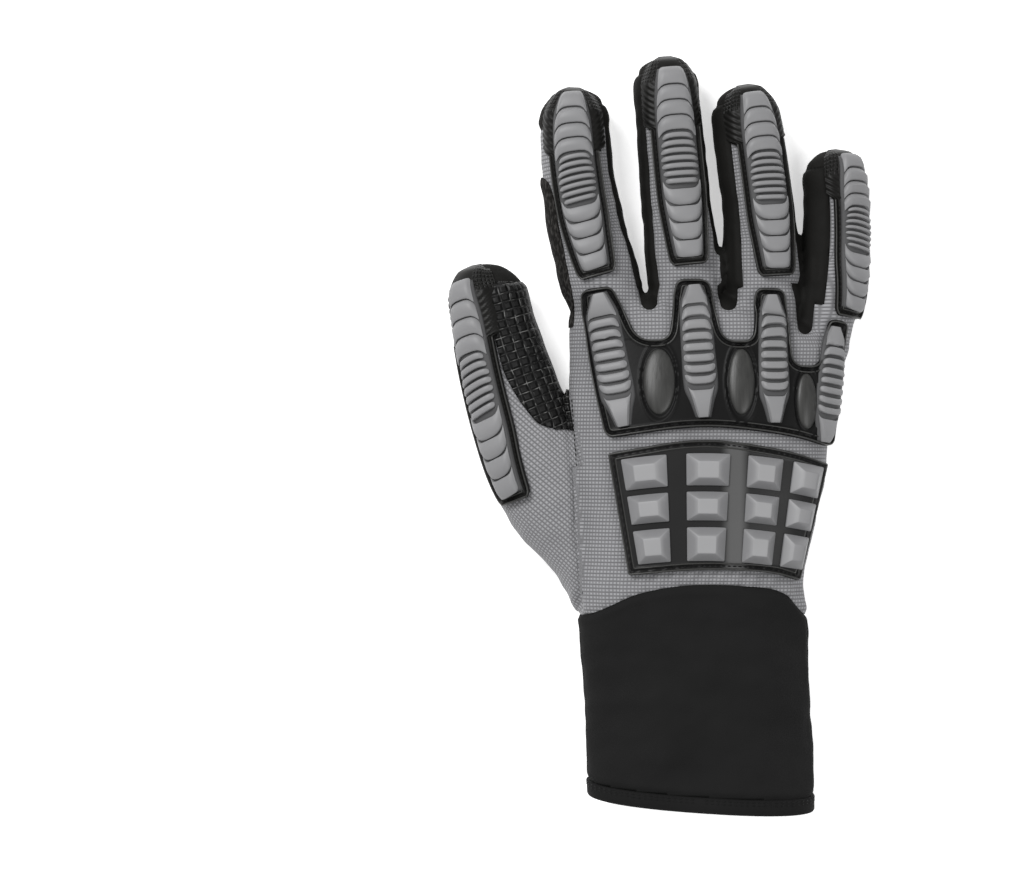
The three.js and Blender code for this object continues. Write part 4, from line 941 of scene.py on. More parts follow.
# along the band, depth into the wall
HEM_PROFILE = [(0.3, 1.2), (0, 0.6), (0.25, -0.1), (0.9, -HEM_PROUD), (5, -HEM_PROUD), (5.7, -0.2), (6, 0.4),
               (6, NEOPRENE_WALL), (5.4, NEOPRENE_WALL + 0.5), (1, NEOPRENE_WALL + 0.5), (0.3, NEOPRENE_WALL)]
around = np.linspace(0, 2 * math.pi, 181)[:-1]
rings = np.stack([body_point(MOUTH_Y + along, around, depth) for along, depth in HEM_PROFILE])
count, sides = rings.shape[:2]
ring_faces = [(i * sides + j, i * sides + (j + 1) % sides, (i + 1) % count * sides + (j + 1) % sides,
               (i + 1) % count * sides + j) for i in range(count) for j in range(sides)]
hem = mesh_piece("cuff_band", rings.reshape(-1, 3), ring_faces)
face_out(hem)
finish_piece(hem, "hem", "neoprene", "cuff_hem")

# %% [markdown]
# ## Overlays
# A grip-cloth saddle is sewn over the crotch of the thumb and grip cloth covers the palm side of its tip. Brushed
# cloth runs along the index finger's side and along the thumb's heel. All four are copies of the skin under them,
# cut to their outline and raised by the height of the cloth, so they lie on the glove without a gap.

# %% Overlays
# the saddle's free edge and the index strip's inner edge, y and x in millimetres
SADDLE_EDGE = [(3.9, -56), (5.8, -61.6), (9.6, -65.5), (14.6, -69.3), (21.2, -73.2), (26.9, -75.8), (34.6, -77.8),
               (42.4, -79.7), (50.1, -80.9), (55.8, -80.9), (60, -78.6), (65.5, -76)]
STRIP_EDGE = [(19.2, -51.2), (26.9, -49.4), (38.5, -48.5), (50.1, -48.5), (57.8, -49.3), (65.5, -50.8),
              (75.1, -52.7), (84.7, -54.3), (92.4, -56), (99.3, -58.1), (103.4, -61.6)]
edge_x = read(SADDLE_EDGE, y, 1)
saddle_field = np.minimum.reduce([strip("thumb", math.radians(-60), math.radians(118), 3.5, 0.62 * thumb.length, 3),
                                  x - edge_x, y - 3.9, 61 - y, z - SIDE_SEAM])
finish_piece(panel("saddle", saddle_field, 1.1, 0.5, 1.25), "grid_cloth", "grid_grip", "thumb_saddle")
strip_x = read(STRIP_EDGE, y, 1)
strip_field = np.minimum.reduce([strip("index", math.radians(-112), math.radians(-30), 12, 2 * HAND_LENGTH, 3),
                                 strip_x - x, y - 19, 104 - y])
finish_piece(panel("index_strip", strip_field, 1.1, 0.4, 1.2), "suede", "suede", "index_side_patch")
heel_field = strip("thumb", math.radians(-158), math.radians(-114), 0.42 * thumb.length, 0.86 * thumb.length, 3)
finish_piece(panel("heel_strip", heel_field, 1.0, 0.3, 1.2), "suede", "suede", "thumb_heel_patch")
from_tip, angle, share = places["thumb"].T
tip_field = np.minimum.reduce([(np.abs(angle) - math.radians(119)) * thumb.radius(np.clip(from_tip, 0, thumb.length)),
                               from_tip - 4, 38 - from_tip, 26 * (1.2 - share)])
finish_piece(panel("thumb_tip_grip", tip_field, 0.7, 0.3, 0.9), "grid_cloth", "grid_grip")

# %% [markdown]
# ## Rubber pads
# Each pad is a black moulded carrier with grey blocks on it. The carrier has a raised lip along its edge and,
# inside it, a groove for the stitches that hold the pad. A grid primitive is laid on the finger or on the back of
# the hand, and its height is read from the distance to its edge. A wall is added below it.

# %% Pad tables
# from the tip, to, half width of the blocks, length of the cap, slant of the blocks
FINGER_PADS = {"index": (4.2, 71.5, 5.7, 24.5, -0.12), "middle": (6.4, 79, 5.7, 27, 0.02),
               "ring": (5.6, 72.5, 5.5, 21.5, 0.08), "little": (4.4, 61, 5.2, 18, 0.25),
               "thumb": (6.8, 88, 5.8, 27, -0.28)}
FINGER_STRIP = [(0, 0.66), (0.08, 0.82), (0.17, 0.94), (0.3, 0.99), (0.62, 1), (0.72, 0.97), (0.82, 0.88),
                (0.92, 0.78), (1, 0.68)]
BAR_WIDTHS = [0.8, 0.88, 0.94, 0.96, 0.95, 0.91, 0.83]
TIP_CAP_ANGLE, TIP_CAP_SHOULDER, PAD_MARGIN, STITCH_INSET = math.radians(57), 2, 3, 1.6
# top x, top y, end x, end y, half width
KNUCKLE_COLUMNS = {"index": (-0.353, 0.27, -0.267, 0.023, 6), "middle": (-0.028, 0.285, 0.004, 0.039, 6),
                   "ring": (0.245, 0.267, 0.2485, 0.03, 5.2), "little": (0.467, 0.21, 0.415, -0.004, 4.2)}
COLUMN_STRIP = [(0, 0.32), (0.08, 0.58), (0.18, 0.84), (0.3, 0.9), (0.5, 0.94), (0.78, 0.94), (0.88, 0.64), (1, 0.34)]
# x, y, corner radius
KNUCKLE_OUTLINE = [(-0.413, 0.275, 3), (-0.312, 0.282, 3), (-0.217, 0.182, 5.4), (-0.112, 0.182, 4.6),
                   (-0.084, 0.295, 3.5), (0.021, 0.295, 3.5), (0.077, 0.18, 5.4), (0.178, 0.18, 4),
                   (0.193, 0.279, 3.5), (0.287, 0.277, 3), (0.318, 0.136, 4), (0.406, 0.134, 4),
                   (0.45, 0.223, 2.7), (0.51, 0.218, 2.3), (0.452, -0.015, 4), (0.3, 0.009, 20),
                   (0, 0.027, 40), (-0.329, 0.002, 4), (-0.379, 0.115, 20)]
# x, y, half width, half length
KNUCKLE_OVALS = [(-0.147, 0.105, 6, 12.5), (0.136, 0.105, 5, 12.5), (0.36, 0.07, 3.8, 10.5)]
OVAL_HEIGHT = 1.6
HAND_PAD_OUTLINE = [(-0.322, -0.024, 1), (0, 0.006, 60), (0.3, -0.018, 20), (0.431, -0.042, 1),
                    (0.333, -0.257, 1), (0.235, -0.239, 15), (0, -0.233, 40), (-0.252, -0.246, 1)]
BLOCK_COLUMNS = [(-0.276, -0.123, -0.217, -0.108), (-0.056, 0.095, -0.053, 0.074),
                 (0.157, 0.276, 0.133, 0.235), (0.312, 0.412, 0.263, 0.336)]
BLOCK_ROWS = [(-0.024, -0.082), (-0.093, -0.145), (-0.157, -0.218)]
BLOCK_ROW_SAG = 0.0026
CARRIER_WALL = 1.3


# %% Pad carriers
def edge_profile(edge):
    """Height over the carrier's own, from the distance to its edge: a lip, the stitching groove, a second lip."""
    return (0.4 * hump(edge, 0.65, 0.4) - 0.5 * hump(edge, STITCH_INSET, 0.5) + 0.3 * hump(edge, 2.6, 0.4)
            - 1.1 * (1 - smooth(0, 0.4, edge)))


def grid(name, across, along):
    """A flat grid primitive whose points run from -1 to 1 across and from 0 to 1 along."""
    clear()
    bpy.ops.mesh.primitive_grid_add(x_subdivisions=across, y_subdivisions=along, size=2, location=(0, 0, 0))
    made = bpy.context.object
    made.name = made.data.name = name
    u, v, _ = points_of(made).T
    return made, u, (v + 1) / 2


def strip_half(name, from_tip):
    """Half width in millimetres of the blocks on a finger at a distance from the tip."""
    start, end, half = FINGER_PADS[name][:3]
    return half * read(FINGER_STRIP, np.clip((from_tip - start) / (end - start), 0, 1), 1)


def past_cap(name, from_tip):
    cap = FINGER_PADS[name][3]
    return smooth(cap - 0.5, cap + TIP_CAP_SHOULDER, from_tip)


def pad_edges(name, from_tip, inset=0):
    """The angles at which a finger pad starts and ends, or those a little way inside its edge."""
    digit, end = digits[name], FINGER_PADS[name][1]
    beyond = np.clip((from_tip - (end - 1)) / (PAD_MARGIN + 1), 0, 1)
    reach = (strip_half(name, from_tip) + PAD_MARGIN - inset) * (1 - 0.3 * beyond**2.5)
    narrowed = past_cap(name, from_tip)
    low = max(math.radians(-88), digit.roll - TIP_CAP_ANGLE)
    high = min(math.radians(88), digit.roll + TIP_CAP_ANGLE)
    return (mix(low, digit.angle_at(from_tip, -reach), narrowed), mix(high, digit.angle_at(from_tip, reach), narrowed))


def cap_profile(name, from_tip, beside):
    """The cap thins out to its sides, where slanted ribs are moulded between the dots and the cap's end."""
    ribs = np.sin((from_tip + 0.8 * beside) * 2 * math.pi / 2.3)
    shown = smooth(0.8, 1.6, beside) * smooth(9.5, 8, beside) * smooth(10, 12, from_tip)
    shown *= 1 - past_cap(name, from_tip)
    return 0.26 * ribs * shown - 1.55 * smooth(2.5, 7.5, beside) - 1.4 * (1 - smooth(0.5, 4, from_tip))


def finger_carrier(name):
    digit, end = digits[name], FINGER_PADS[name][1]
    made, u, v = grid(name + "_carrier", 66, 130)
    first = 0.06 * digit.tip_radius
    from_tip = mix(first, end + PAD_MARGIN, v**1.15)
    low, high = pad_edges(name, from_tip)
    across = np.sin(u * math.pi / 2)
    angle = mix(low, high, (across + 1) / 2)
    radius = digit.radius(from_tip)
    edge = np.minimum((1 - np.abs(across)) * (high - low) / 2 * radius, end + PAD_MARGIN - from_tip)
    beside = np.abs(angle - digit.roll) * radius - strip_half(name, from_tip)
    height = mix(cap_profile(name, from_tip, beside), edge_profile(edge), past_cap(name, from_tip))
    move_points(made, digit.raised(from_tip, angle, PAD_GAP + PAD_BASE + height))
    map_piece(made, np.stack([beside, from_tip], 1))
    face_up(made)
    apply(made, "SOLIDIFY", thickness=CARRIER_WALL * MM, offset=-1)
    return finish_piece(made, "cap_rubber", "black_rubber", name + "_pad_base", sharp=50)


def face_up(piece):
    """Turns an open sheet so that its faces look up."""
    if sum(polygon.normal.z * polygon.area for polygon in piece.data.polygons) < 0:
        piece.data.flip_normals()


for name in FINGER_PADS:
    finger_carrier(name)


# %% Plan outlines
def inset_corners(corners, inset):
    """An outline's corners in millimetres, moved inwards, with their radii."""
    spots = [np.array([a * HAND_WIDTH, b * HAND_LENGTH]) for a, b, _ in corners]
    moved = []
    for i, here in enumerate(spots):
        before, after = here - spots[i - 1], spots[(i + 1) % len(spots)] - here
        before, after = before / np.linalg.norm(before), after / np.linalg.norm(after)
        sides = [np.array([way[1], -way[0]]) for way in (before, after)]
        turn = before[0] * after[1] - before[1] * after[0]
        radius = max(corners[i][2] + inset * np.sign(turn), 0.6)
        moved.append((here + inset * (sides[0] + sides[1]) / (1 + sides[0] @ sides[1]), radius))
    return moved


def rounded(corners, inset=0, segments=8):
    """A plan outline in millimetres with each corner rounded by its own radius. The corners run clockwise."""
    moved = inset_corners(corners, inset)
    line = []
    for i, (here, radius) in enumerate(moved):
        before, after = moved[i - 1][0] - here, moved[(i + 1) % len(moved)][0] - here
        start, end = [here + way / np.linalg.norm(way) * min(radius, 0.45 * np.linalg.norm(way))
                      for way in (before, after)]
        t = np.linspace(0, 1, segments)[:, None]
        line.append((1 - t) ** 2 * start + 2 * t * (1 - t) * here + t * t * end)
    return np.concatenate(line)


def inside_by(line, a, b):
    """How far inside a closed outline each point lies, below nought outside it."""
    start, end = line, np.roll(line, -1, axis=0)
    best, crossings = np.full(a.shape, 1e9), np.zeros(a.shape, int)
    for (x0, y0), (x1, y1) in zip(start, end):
        run = max((x1 - x0) ** 2 + (y1 - y0) ** 2, 1e-12)
        t = np.clip(((a - x0) * (x1 - x0) + (b - y0) * (y1 - y0)) / run, 0, 1)
        best = np.minimum(best, np.hypot(a - x0 - t * (x1 - x0), b - y0 - t * (y1 - y0)))
        if y0 != y1:
            crossings += ((y0 > b) != (y1 > b)) & (a < (x1 - x0) * (b - y0) / (y1 - y0) + x0)
    return np.where(crossings % 2 == 1, best, -best)


def flat_cut(name, line, pitch):
    """A grid primitive cut to a plan outline: its points, its faces and each point's distance to the edge."""
    low, high = line.min(0) - 1, line.max(0) + 1
    size = np.ceil((high - low) / pitch).astype(int)
    plan, u, v = grid(name + "_plan", int(size[0]), int(size[1]))
    a, b = mix(low[0], high[0], (u + 1) / 2), mix(low[1], high[1], v)
    return clip(np.stack([a, b], 1), halved(take_apart(plan)[1]), inside_by(line, a, b))


# %% Carriers on the back of the hand
def hand_carrier(name, corners, relief, pitch=0.48):
    data, faces, edge = flat_cut(name, rounded(corners), pitch)
    height = PAD_GAP + PAD_BASE + edge_profile(edge) + relief(data[:, 0], data[:, 1])
    made = mesh_piece(name, back_point(data[:, 0], data[:, 1], height), faces)
    face_up(made)
    apply(made, "SOLIDIFY", thickness=CARRIER_WALL * MM, offset=-1)
    return made


def knuckle_relief(a, b):
    """A groove and a fine rim round each oval."""
    total = np.zeros_like(a)
    for cx, cy, wide, long in KNUCKLE_OVALS:
        ring = (np.hypot((a - cx * HAND_WIDTH) / wide, (b - cy * HAND_LENGTH) / long) - 1) * wide
        total += 0.35 * hump(ring, 1.3, 0.4) - 0.5 * hump(ring, 0.4, 0.5)
    return total


knuckle = hand_carrier("knuckle_carrier", KNUCKLE_OUTLINE, knuckle_relief)
finish_piece(knuckle, "black_rubber", "black_rubber", "knuckle_pad_base", sharp=50)
hand_pad = hand_carrier("hand_pad_carrier", HAND_PAD_OUTLINE, lambda a, b: np.zeros_like(a))
finish_piece(hand_pad, "pad_rubber", "black_rubber", "hand_pad_base", sharp=50)


# %% [markdown]
# ## Blocks
# The grey blocks are moulded on a bed whose darker colour is painted shade in the grooves between them: overlapping
# scales near the fingertip, straight bars, then scales with horns that point the other way. All come from one
# bevelled cube, cut across so that it can bend. The far and near edge of each copy bend by their own amount,
# which turns it into a scale, a bar or a fang.

# %% Block template
TEMPLATE_CUTS = [-0.94, -0.86, -0.74, -0.55, -0.28, 0, 0.28, 0.55, 0.74, 0.86, 0.94]


def block_template(bevel):
    """A bevelled block one unit long and high and two wide, cut across so that it can bend."""
    clear()
    bpy.ops.mesh.primitive_cube_add(size=1, location=(0, 0.5, 0.5))
    made = bpy.context.object
    bpy.ops.object.mode_set(mode="EDIT")
    bpy.ops.transform.resize(value=(2, 1, 1), center_override=(0, 0, 0))
    bpy.ops.mesh.select_mode(type="EDGE")
    bpy.ops.mesh.select_all(action="DESELECT")
    bpy.ops.object.mode_set(mode="OBJECT")
    bpy.ops.object.transform_apply(location=True, rotation=True, scale=True)
    for edge in made.data.edges:
        a, b = [made.data.vertices[i].co for i in edge.vertices]
        edge.select = a.z > 0.9 or b.z > 0.9
    bpy.ops.object.mode_set(mode="EDIT")
    bpy.ops.mesh.bevel(offset=bevel, segments=2, affect="EDGES")
    cut_across(TEMPLATE_CUTS, (1, 0, 0))
    cut_across((0.35, 0.65), (0, 1, 0))
    bpy.ops.object.mode_set(mode="OBJECT")
    return take_apart(made)


template, template_faces = block_template(0.12)
print("block template", template.shape, template.min(0), template.max(0))


# %% Bending the template
def merged(name, copies, faces):
    """One mesh from copies of a template, each with its own points."""
    size = len(copies[0])
    every = [tuple(i + k * size for i in face) for k in range(len(copies)) for face in faces]
    made = mesh_piece(name, np.concatenate(copies), every)
    face_out(made)
    return made


# height over the block from its far edge
HEIGHTS = {"scale": [(0, 0.5), (0.35, 1), (1, 0.72)], "bar": [(0, 0.85), (0.5, 1), (1, 0.85)],
           "horned": [(0, 0.7), (0.65, 1), (1, 0.6)]}
# how far the far and near edge bend, as a share of the half width, and how late
SCALE_BENDS, HORN_BENDS = ((0.6, 4), (0.6, 4)), ((-0.7, 7), (-0.6, 3.2))


def bent_block(spot, start, end, kind, bends, wide, slant=0.0, gap=0.5):
    """The template laid between two places on a strip, each edge with its own bend."""
    across, along, up = template.T
    u = np.abs(across)
    place = mix(start + gap / 2, end - gap / 2, along)
    half = wide(place)
    if kind == "bar":
        middle = (start + end) / 2
        place = middle + (place - middle) * np.sqrt(1 - 0.8 * np.clip((u - 0.8) / 0.2, 0, 1) ** 2)
    (far, far_power), (near, near_power) = bends
    place = place + half * (mix(far * u**far_power, near * u**near_power, along) + slant * across)
    height = RIB_HEIGHT * (0.1 + 0.9 * up * read(HEIGHTS[kind], np.clip(template[:, 1], 0, 1), 1))
    height *= 1 - 0.4 * smooth(0.7, 1, u)
    return spot(place, across * half, height)


# %% Blocks on the fingers
BED_HEIGHT = 0.95


def bed(name, spot, length, wide, slot_of):
    """The bed that the blocks stand on, with sloping sides, coloured darker as painted shade in the grooves between
    them.
    """
    made, u, v = grid(name + "_bed", 14, 70)
    along = v * length
    flat = np.clip(np.abs(u) * 1.35, 0, 1)
    slope = smooth(0.7, 1, np.abs(u))
    across = np.sign(u) * (wide(along) * flat + 0.9 * slope)
    ends = smooth(0, 1.2, np.minimum(along, length - along))
    height = np.maximum(BED_HEIGHT * np.minimum(1 - slope, ends), 0) - 0.25
    move_points(made, spot(along, across, height))
    face_up(made)
    apply(made, "SOLIDIFY", thickness=0.4 * MM, offset=-1)
    # the bed's darker colour is painted shade between the blocks
    return finish_piece(made, "groove_shade_rubber", slot_of)


def finger_scales(name):
    digit, (start, end, half, _, slant) = digits[name], FINGER_PADS[name]
    length = end - start

    def spot(along, across, height):
        return digit.raised(start + along, digit.angle_at(start + along, across), RIB_FLOOR - 0.4 + height)

    def wide(along):
        return strip_half(name, start + along)

    copies = []
    for i in range(4):
        bends = ((0.05, 2), SCALE_BENDS[1]) if i == 0 else SCALE_BENDS
        copies.append(bent_block(spot, 0.081 * i * length, 0.081 * (i + 1) * length, "scale", bends, wide, 0.5 * slant))
    size = 0.285 * length / 7
    for i, share in enumerate(BAR_WIDTHS):
        bend = (mix(0.3, 0.02, i / 6), 3)
        at = 0.33 * length + i * size
        copies.append(bent_block(spot, at, at + size, "bar", (bend, bend), lambda a: share * wide(a), slant, 1.1))
    size = 0.37 * length / 4
    for i in range(4):
        at = 0.635 * length + i * size
        bends = (HORN_BENDS[0], (-0.25, 5)) if i == 3 else HORN_BENDS
        copies.append(bent_block(spot, at, at + size, "horned", bends, wide, 0.5 * slant))
    bed(name, spot, length, wide, "grey_rubber")
    made = merged(name + "_scales", copies, template_faces)
    return finish_piece(made, "grey_rubber", "grey_rubber", name + "_pad_ribs", sharp=40)


for name in FINGER_PADS:
    finger_scales(name)


# %% Knuckle columns
def knuckle_column(name):
    top_x, top_y, end_x, end_y, half = KNUCKLE_COLUMNS[name]
    top = np.array([top_x * HAND_WIDTH, top_y * HAND_LENGTH])
    end = np.array([end_x * HAND_WIDTH, end_y * HAND_LENGTH])
    length = float(np.linalg.norm(end - top))
    way = (end - top) / length

    def spot(along, across, height):
        return back_point(top[0] + way[0] * along - way[1] * across, top[1] + way[1] * along + way[0] * across,
                          RIB_FLOOR - 0.4 + height)

    def wide(along):
        return half * read(COLUMN_STRIP, np.clip(along / length, 0, 1), 1)

    copies = [bent_block(spot, 0, 0.18 * length, "horned", ((0.05, 2), (0.4, 5)), wide, gap=0.3)]
    size = 0.58 * length / 7
    for i in range(7):
        bend = (mix(0.36, -0.3, i / 6), 4)
        at = 0.192 * length + i * size
        copies.append(bent_block(spot, at, at + size, "bar", (bend, bend), wide, gap=1.5))
    copies.append(bent_block(spot, 0.8 * length, length, "horned", ((-0.62, 8), (0, 2)), wide, gap=0.3))
    bed("knuckle_" + name, spot, length, wide, "grey_rubber")
    made = merged("knuckle_column_" + name, copies, template_faces)
    return finish_piece(made, "grey_rubber", "grey_rubber", "knuckle_ribs_" + name, sharp=40)


for name in KNUCKLE_COLUMNS:
    knuckle_column(name)


# %% Hand pad blocks
def frustum_template():
    """A low pyramid with its top cut off and its edges eased, one unit each way."""
    clear()
    bpy.ops.mesh.primitive_cube_add(size=1, location=(0.5, 0.5, 0.5))
    made = bpy.context.object
    bpy.ops.object.transform_apply(location=True, rotation=True, scale=True)
    for vertex in made.data.vertices:
        vertex.co.z *= 0.2
    bpy.ops.object.mode_set(mode="EDIT")
    bpy.ops.mesh.select_mode(type="FACE")
    bpy.ops.mesh.select_all(action="DESELECT")
    bpy.ops.object.mode_set(mode="OBJECT")
    for polygon in made.data.polygons:
        polygon.select = polygon.normal.z > 0.9
    bpy.ops.object.mode_set(mode="EDIT")
    bpy.ops.mesh.extrude_region_move(TRANSFORM_OT_translate={"value": (0, 0, 0.8)})
    bpy.ops.transform.resize(value=(0.46, 0.5, 1), center_override=(0.5, 0.5, 1))
    bpy.ops.mesh.select_all(action="SELECT")
    bpy.ops.mesh.bevel(offset=0.035, segments=2, affect="EDGES")
    for i in range(1, 6):
        cut_across([i / 6], (1, 0, 0))
        cut_across([i / 6], (0, 1, 0))
    bpy.ops.object.mode_set(mode="OBJECT")
    return take_apart(made)


block, block_faces = frustum_template()
for r, (row_top, row_foot) in enumerate(BLOCK_ROWS):
    for c, (top_left, top_right, foot_left, foot_right) in enumerate(BLOCK_COLUMNS):
        down = mix(row_top, row_foot, block[:, 1])
        share = (down - BLOCK_ROWS[0][0]) / (BLOCK_ROWS[-1][1] - BLOCK_ROWS[0][0])
        across = mix(mix(top_left, foot_left, share), mix(top_right, foot_right, share), block[:, 0]) * HAND_WIDTH
        height = PAD_GAP + PAD_BASE - 0.1 + (BLOCK_HEIGHT + 0.3) * block[:, 2]
        spots = back_point(across, down * HAND_LENGTH - BLOCK_ROW_SAG * across**2, height)
        name = f"{r + 1}_{c + 1}"
        made = merged("pad_block_" + name, [spots], block_faces)
        finish_piece(made, "block_rubber", "grey_rubber", "hand_block_" + name, sharp=25)


# %% Knuckle ovals
clear()
bpy.ops.mesh.primitive_uv_sphere_add(segments=40, ring_count=20, radius=1, location=(0, 0, 0))
ball = bpy.context.object
bpy.ops.object.mode_set(mode="EDIT")
bpy.ops.mesh.select_all(action="SELECT")
bpy.ops.mesh.bisect(plane_co=(0, 0, -0.1), plane_no=(0, 0, 1), clear_inner=True, use_fill=True)
bpy.ops.object.mode_set(mode="OBJECT")
dome, dome_faces = take_apart(ball)
ovals = []
for cx, cy, wide, long in KNUCKLE_OVALS:
    ovals.append(back_point(cx * HAND_WIDTH + wide * dome[:, 0], cy * HAND_LENGTH + long * dome[:, 1],
                            PAD_GAP + PAD_BASE - 0.2 + (OVAL_HEIGHT + 0.2) * dome[:, 2]))
oval_piece = merged("knuckle_ovals", ovals, dome_faces)
finish_piece(oval_piece, "oval_rubber", "black_rubber", sharp=50)

# %% [markdown]
# ## Stitches
# Every pad is sewn down through the groove in its border, the hem has two rows, the thumb's seam one, and the
# palm's wrist seam shows a row of pale thread. One short thread is modelled, tapered and dipped at its ends, then
# copied along each line at an even pitch and turned with it. A thin bead runs along each lip of the groove, in a
# paler rubber that paints the highlight on the lip.


# %% Stitch template
def stitch_template():
    clear()
    bpy.ops.mesh.primitive_cylinder_add(vertices=6, radius=0.5, depth=1, location=(0, 0, 0),
                                        rotation=(0, math.pi / 2, 0))
    made = bpy.context.object
    bpy.ops.object.transform_apply(location=True, rotation=True, scale=True)
    bpy.ops.object.mode_set(mode="EDIT")
    cut_across((-0.3, 0, 0.3), (1, 0, 0))
    bpy.ops.object.mode_set(mode="OBJECT")
    points, faces = take_apart(made)
    points[:, 1:] *= np.sqrt(1 - 3.2 * points[:, :1] ** 2)
    points[:, 2] -= 1.6 * points[:, 0] ** 2
    return points, faces


thread, thread_faces = stitch_template()
print("thread", thread.shape)


# %% Rows of stitches and beads
# pitch, length and thickness of the stitches in millimetres
PAD_STITCH, HEM_STITCH, PALM_STITCH, THUMB_STITCH = (2.1, 1.5, 0.5), (2.3, 1.7, 0.5), (2.6, 1.8, 0.5), (1.9, 1.2, 0.4)


def sew(name, line, above, stitch, material, slot):
    """A row of stitches along a line of points, each with a point above it that tells which way is up."""
    pitch, long, thick = stitch
    gaps = np.linalg.norm(np.diff(line, axis=0), axis=1)
    keys = np.concatenate([[0], np.cumsum(gaps)])
    stops = np.arange(pitch / 2, keys[-1], pitch)
    centre, over, ahead = [np.stack([np.interp(stops + step, keys, spots[:, k]) for k in range(3)], 1)
                           for spots, step in ((line, 0), (above, 0), (line, 0.3))]
    up = over - centre
    up /= np.linalg.norm(up, axis=1, keepdims=True)
    along = ahead - centre
    along -= up * (along * up).sum(1, keepdims=True)
    along /= np.maximum(np.linalg.norm(along, axis=1, keepdims=True), 1e-9)
    side = np.cross(up, along)
    copies = [centre[i] + long * thread[:, :1] * along[i] + thick * thread[:, 1:2] * side[i]
              + thick * thread[:, 2:] * up[i] for i in range(len(stops) - 1)]
    return finish_piece(merged(name, copies, thread_faces), material, slot)


def row(surface, a, b, level):
    """A line on a surface, and the same line one millimetre above it."""
    return surface(a, b, level), surface(a, b, level + 1)


def bead(name, line, above, radius, material, slot, joined=False):
    """A thin half-sunk bead along a line."""
    up = above - line
    up /= np.linalg.norm(up, axis=1, keepdims=True)
    along = np.roll(line, -1, axis=0) - np.roll(line, 1, axis=0) if joined else np.gradient(line, axis=0)
    side = np.cross(up, along)
    side /= np.maximum(np.linalg.norm(side, axis=1, keepdims=True), 1e-9)
    round_it = np.linspace(0, 2 * math.pi, 7)[:-1]
    rings = [line + radius * (math.cos(t) * side + math.sin(t) * up) for t in round_it]
    points = np.stack(rings, 1).reshape(-1, 3)
    count = len(line)
    faces = [(i * 6 + j, i * 6 + (j + 1) % 6, (i + 1) % count * 6 + (j + 1) % 6, (i + 1) % count * 6 + j)
             for i in range(count if joined else count - 1) for j in range(6)]
    if not joined:
        faces += [tuple(range(6))[::-1], tuple((count - 1) * 6 + j for j in range(6))]
    made = mesh_piece(name, points, faces)
    face_out(made)
    return finish_piece(made, material, slot)


# %% Stitches and lips on the pads
# how far in from the edge, the bead's radius, how far it stands up
LIPS = ((0.6, 0.34, 0.02), (2.65, 0.26, -0.05))
GROOVE_FLOOR = PAD_GAP + PAD_BASE - 0.3


def lip_level(inset, rise):
    return PAD_GAP + PAD_BASE + edge_profile(inset) + rise


def outline_points(corners, inset):
    """A rounded outline with closely spaced points and none of them twice."""
    line = rounded(corners, inset, 10)
    line = line[np.hypot(*(line - np.roll(line, 1, axis=0)).T) > 0.05]
    steps = np.linspace(0, 1, 6)[:-1, None]
    line = np.concatenate([mix(here, there, steps) for here, there in zip(line, np.roll(line, -1, axis=0))])
    return line[np.hypot(*(line - np.roll(line, 1, axis=0)).T) > 0.02].T


def finger_edge(name, past, inset, count, foot):
    """The edge of a finger pad from the cap round its foot and back, as distances from the tip and angles."""
    _, end, _, cap, _ = FINGER_PADS[name]
    down = np.linspace(cap + past, end + PAD_MARGIN - inset, count)
    low, high = pad_edges(name, down, inset)
    from_tip = np.concatenate([down, np.full(len(foot), down[-1]), down[::-1]])
    return from_tip, np.concatenate([low, mix(low[-1], high[-1], foot), high[::-1]])


# the lip beads' paler rubber is a painted highlight on each lip
for name, corners in (("knuckle", KNUCKLE_OUTLINE), ("hand_pad", HAND_PAD_OUTLINE)):
    for i, (inset, radius, rise) in enumerate(LIPS):
        bead(f"{name}_lip_{i + 1}", *row(back_point, *outline_points(corners, inset), lip_level(inset, rise)), radius,
             "lip_rubber", "black_rubber", joined=True)
for name, corners in (("knuckle", KNUCKLE_OUTLINE), ("hand_pad", HAND_PAD_OUTLINE)):
    line = rounded(corners, STITCH_INSET, 12)
    sew(name + "_stitches", *row(back_point, *np.concatenate([line, line[:1]]).T, GROOVE_FLOOR), PAD_STITCH,
        "black_thread", "black_rubber")
for name in FINGER_PADS:
    surface = digits[name].raised
    sew(name + "_pad_stitches", *row(surface, *finger_edge(name, 4, STITCH_INSET, 60, np.linspace(0, 1, 12)),
                                     GROOVE_FLOOR), PAD_STITCH, "black_thread", "black_rubber")
    # the lip beads' paler rubber is a painted highlight on each lip
    for i, (inset, radius, rise) in enumerate(LIPS):
        where = finger_edge(name, 2, inset, 70, np.linspace(0, 1, 14)[1:-1])
        bead(f"{name}_lip_{i + 1}", *row(surface, *where, lip_level(inset, rise)), radius, "lip_rubber",
             "black_rubber")

# %% Stitches on cloth
turn_round = np.linspace(0, 2 * math.pi, 240)
for name, along in (("hem_stitches_low", 4.1), ("hem_stitches_high", 5.2)):
    sew(name, body_point(MOUTH_Y + along, turn_round, -HEM_PROUD), body_point(MOUTH_Y + along, turn_round, -2),
        HEM_STITCH, "black_thread", "neoprene")
under = np.radians(np.linspace(112, 248, 120))
sew("palm_seam_stitches", body_point(PALM_SEAM_Y + 2.2, under, -0.1), body_point(PALM_SEAM_Y + 2.2, under, -1),
    PALM_STITCH, "pale_thread", "black_leather")
seam_y = np.linspace(16, -62, 80)
sew("thumb_seam_stitches", back_point(thumb_seam_x(seam_y) + 1.6, seam_y, 0.15),
    back_point(thumb_seam_x(seam_y) + 1.6, seam_y, 1), THUMB_STITCH, "black_thread", "grey_knit")

# %% [markdown]
# ## Palm side
# The palm carries glossy grip patches with a silver rim, and a grip-cloth tab for pulling the glove on. Each patch
# takes the outline of its own solid, with rounded corners, and is cut from a fine grid. Its height is felt for
# from below, and its map holds the distance to the edge, so that one material prints both film and rim.


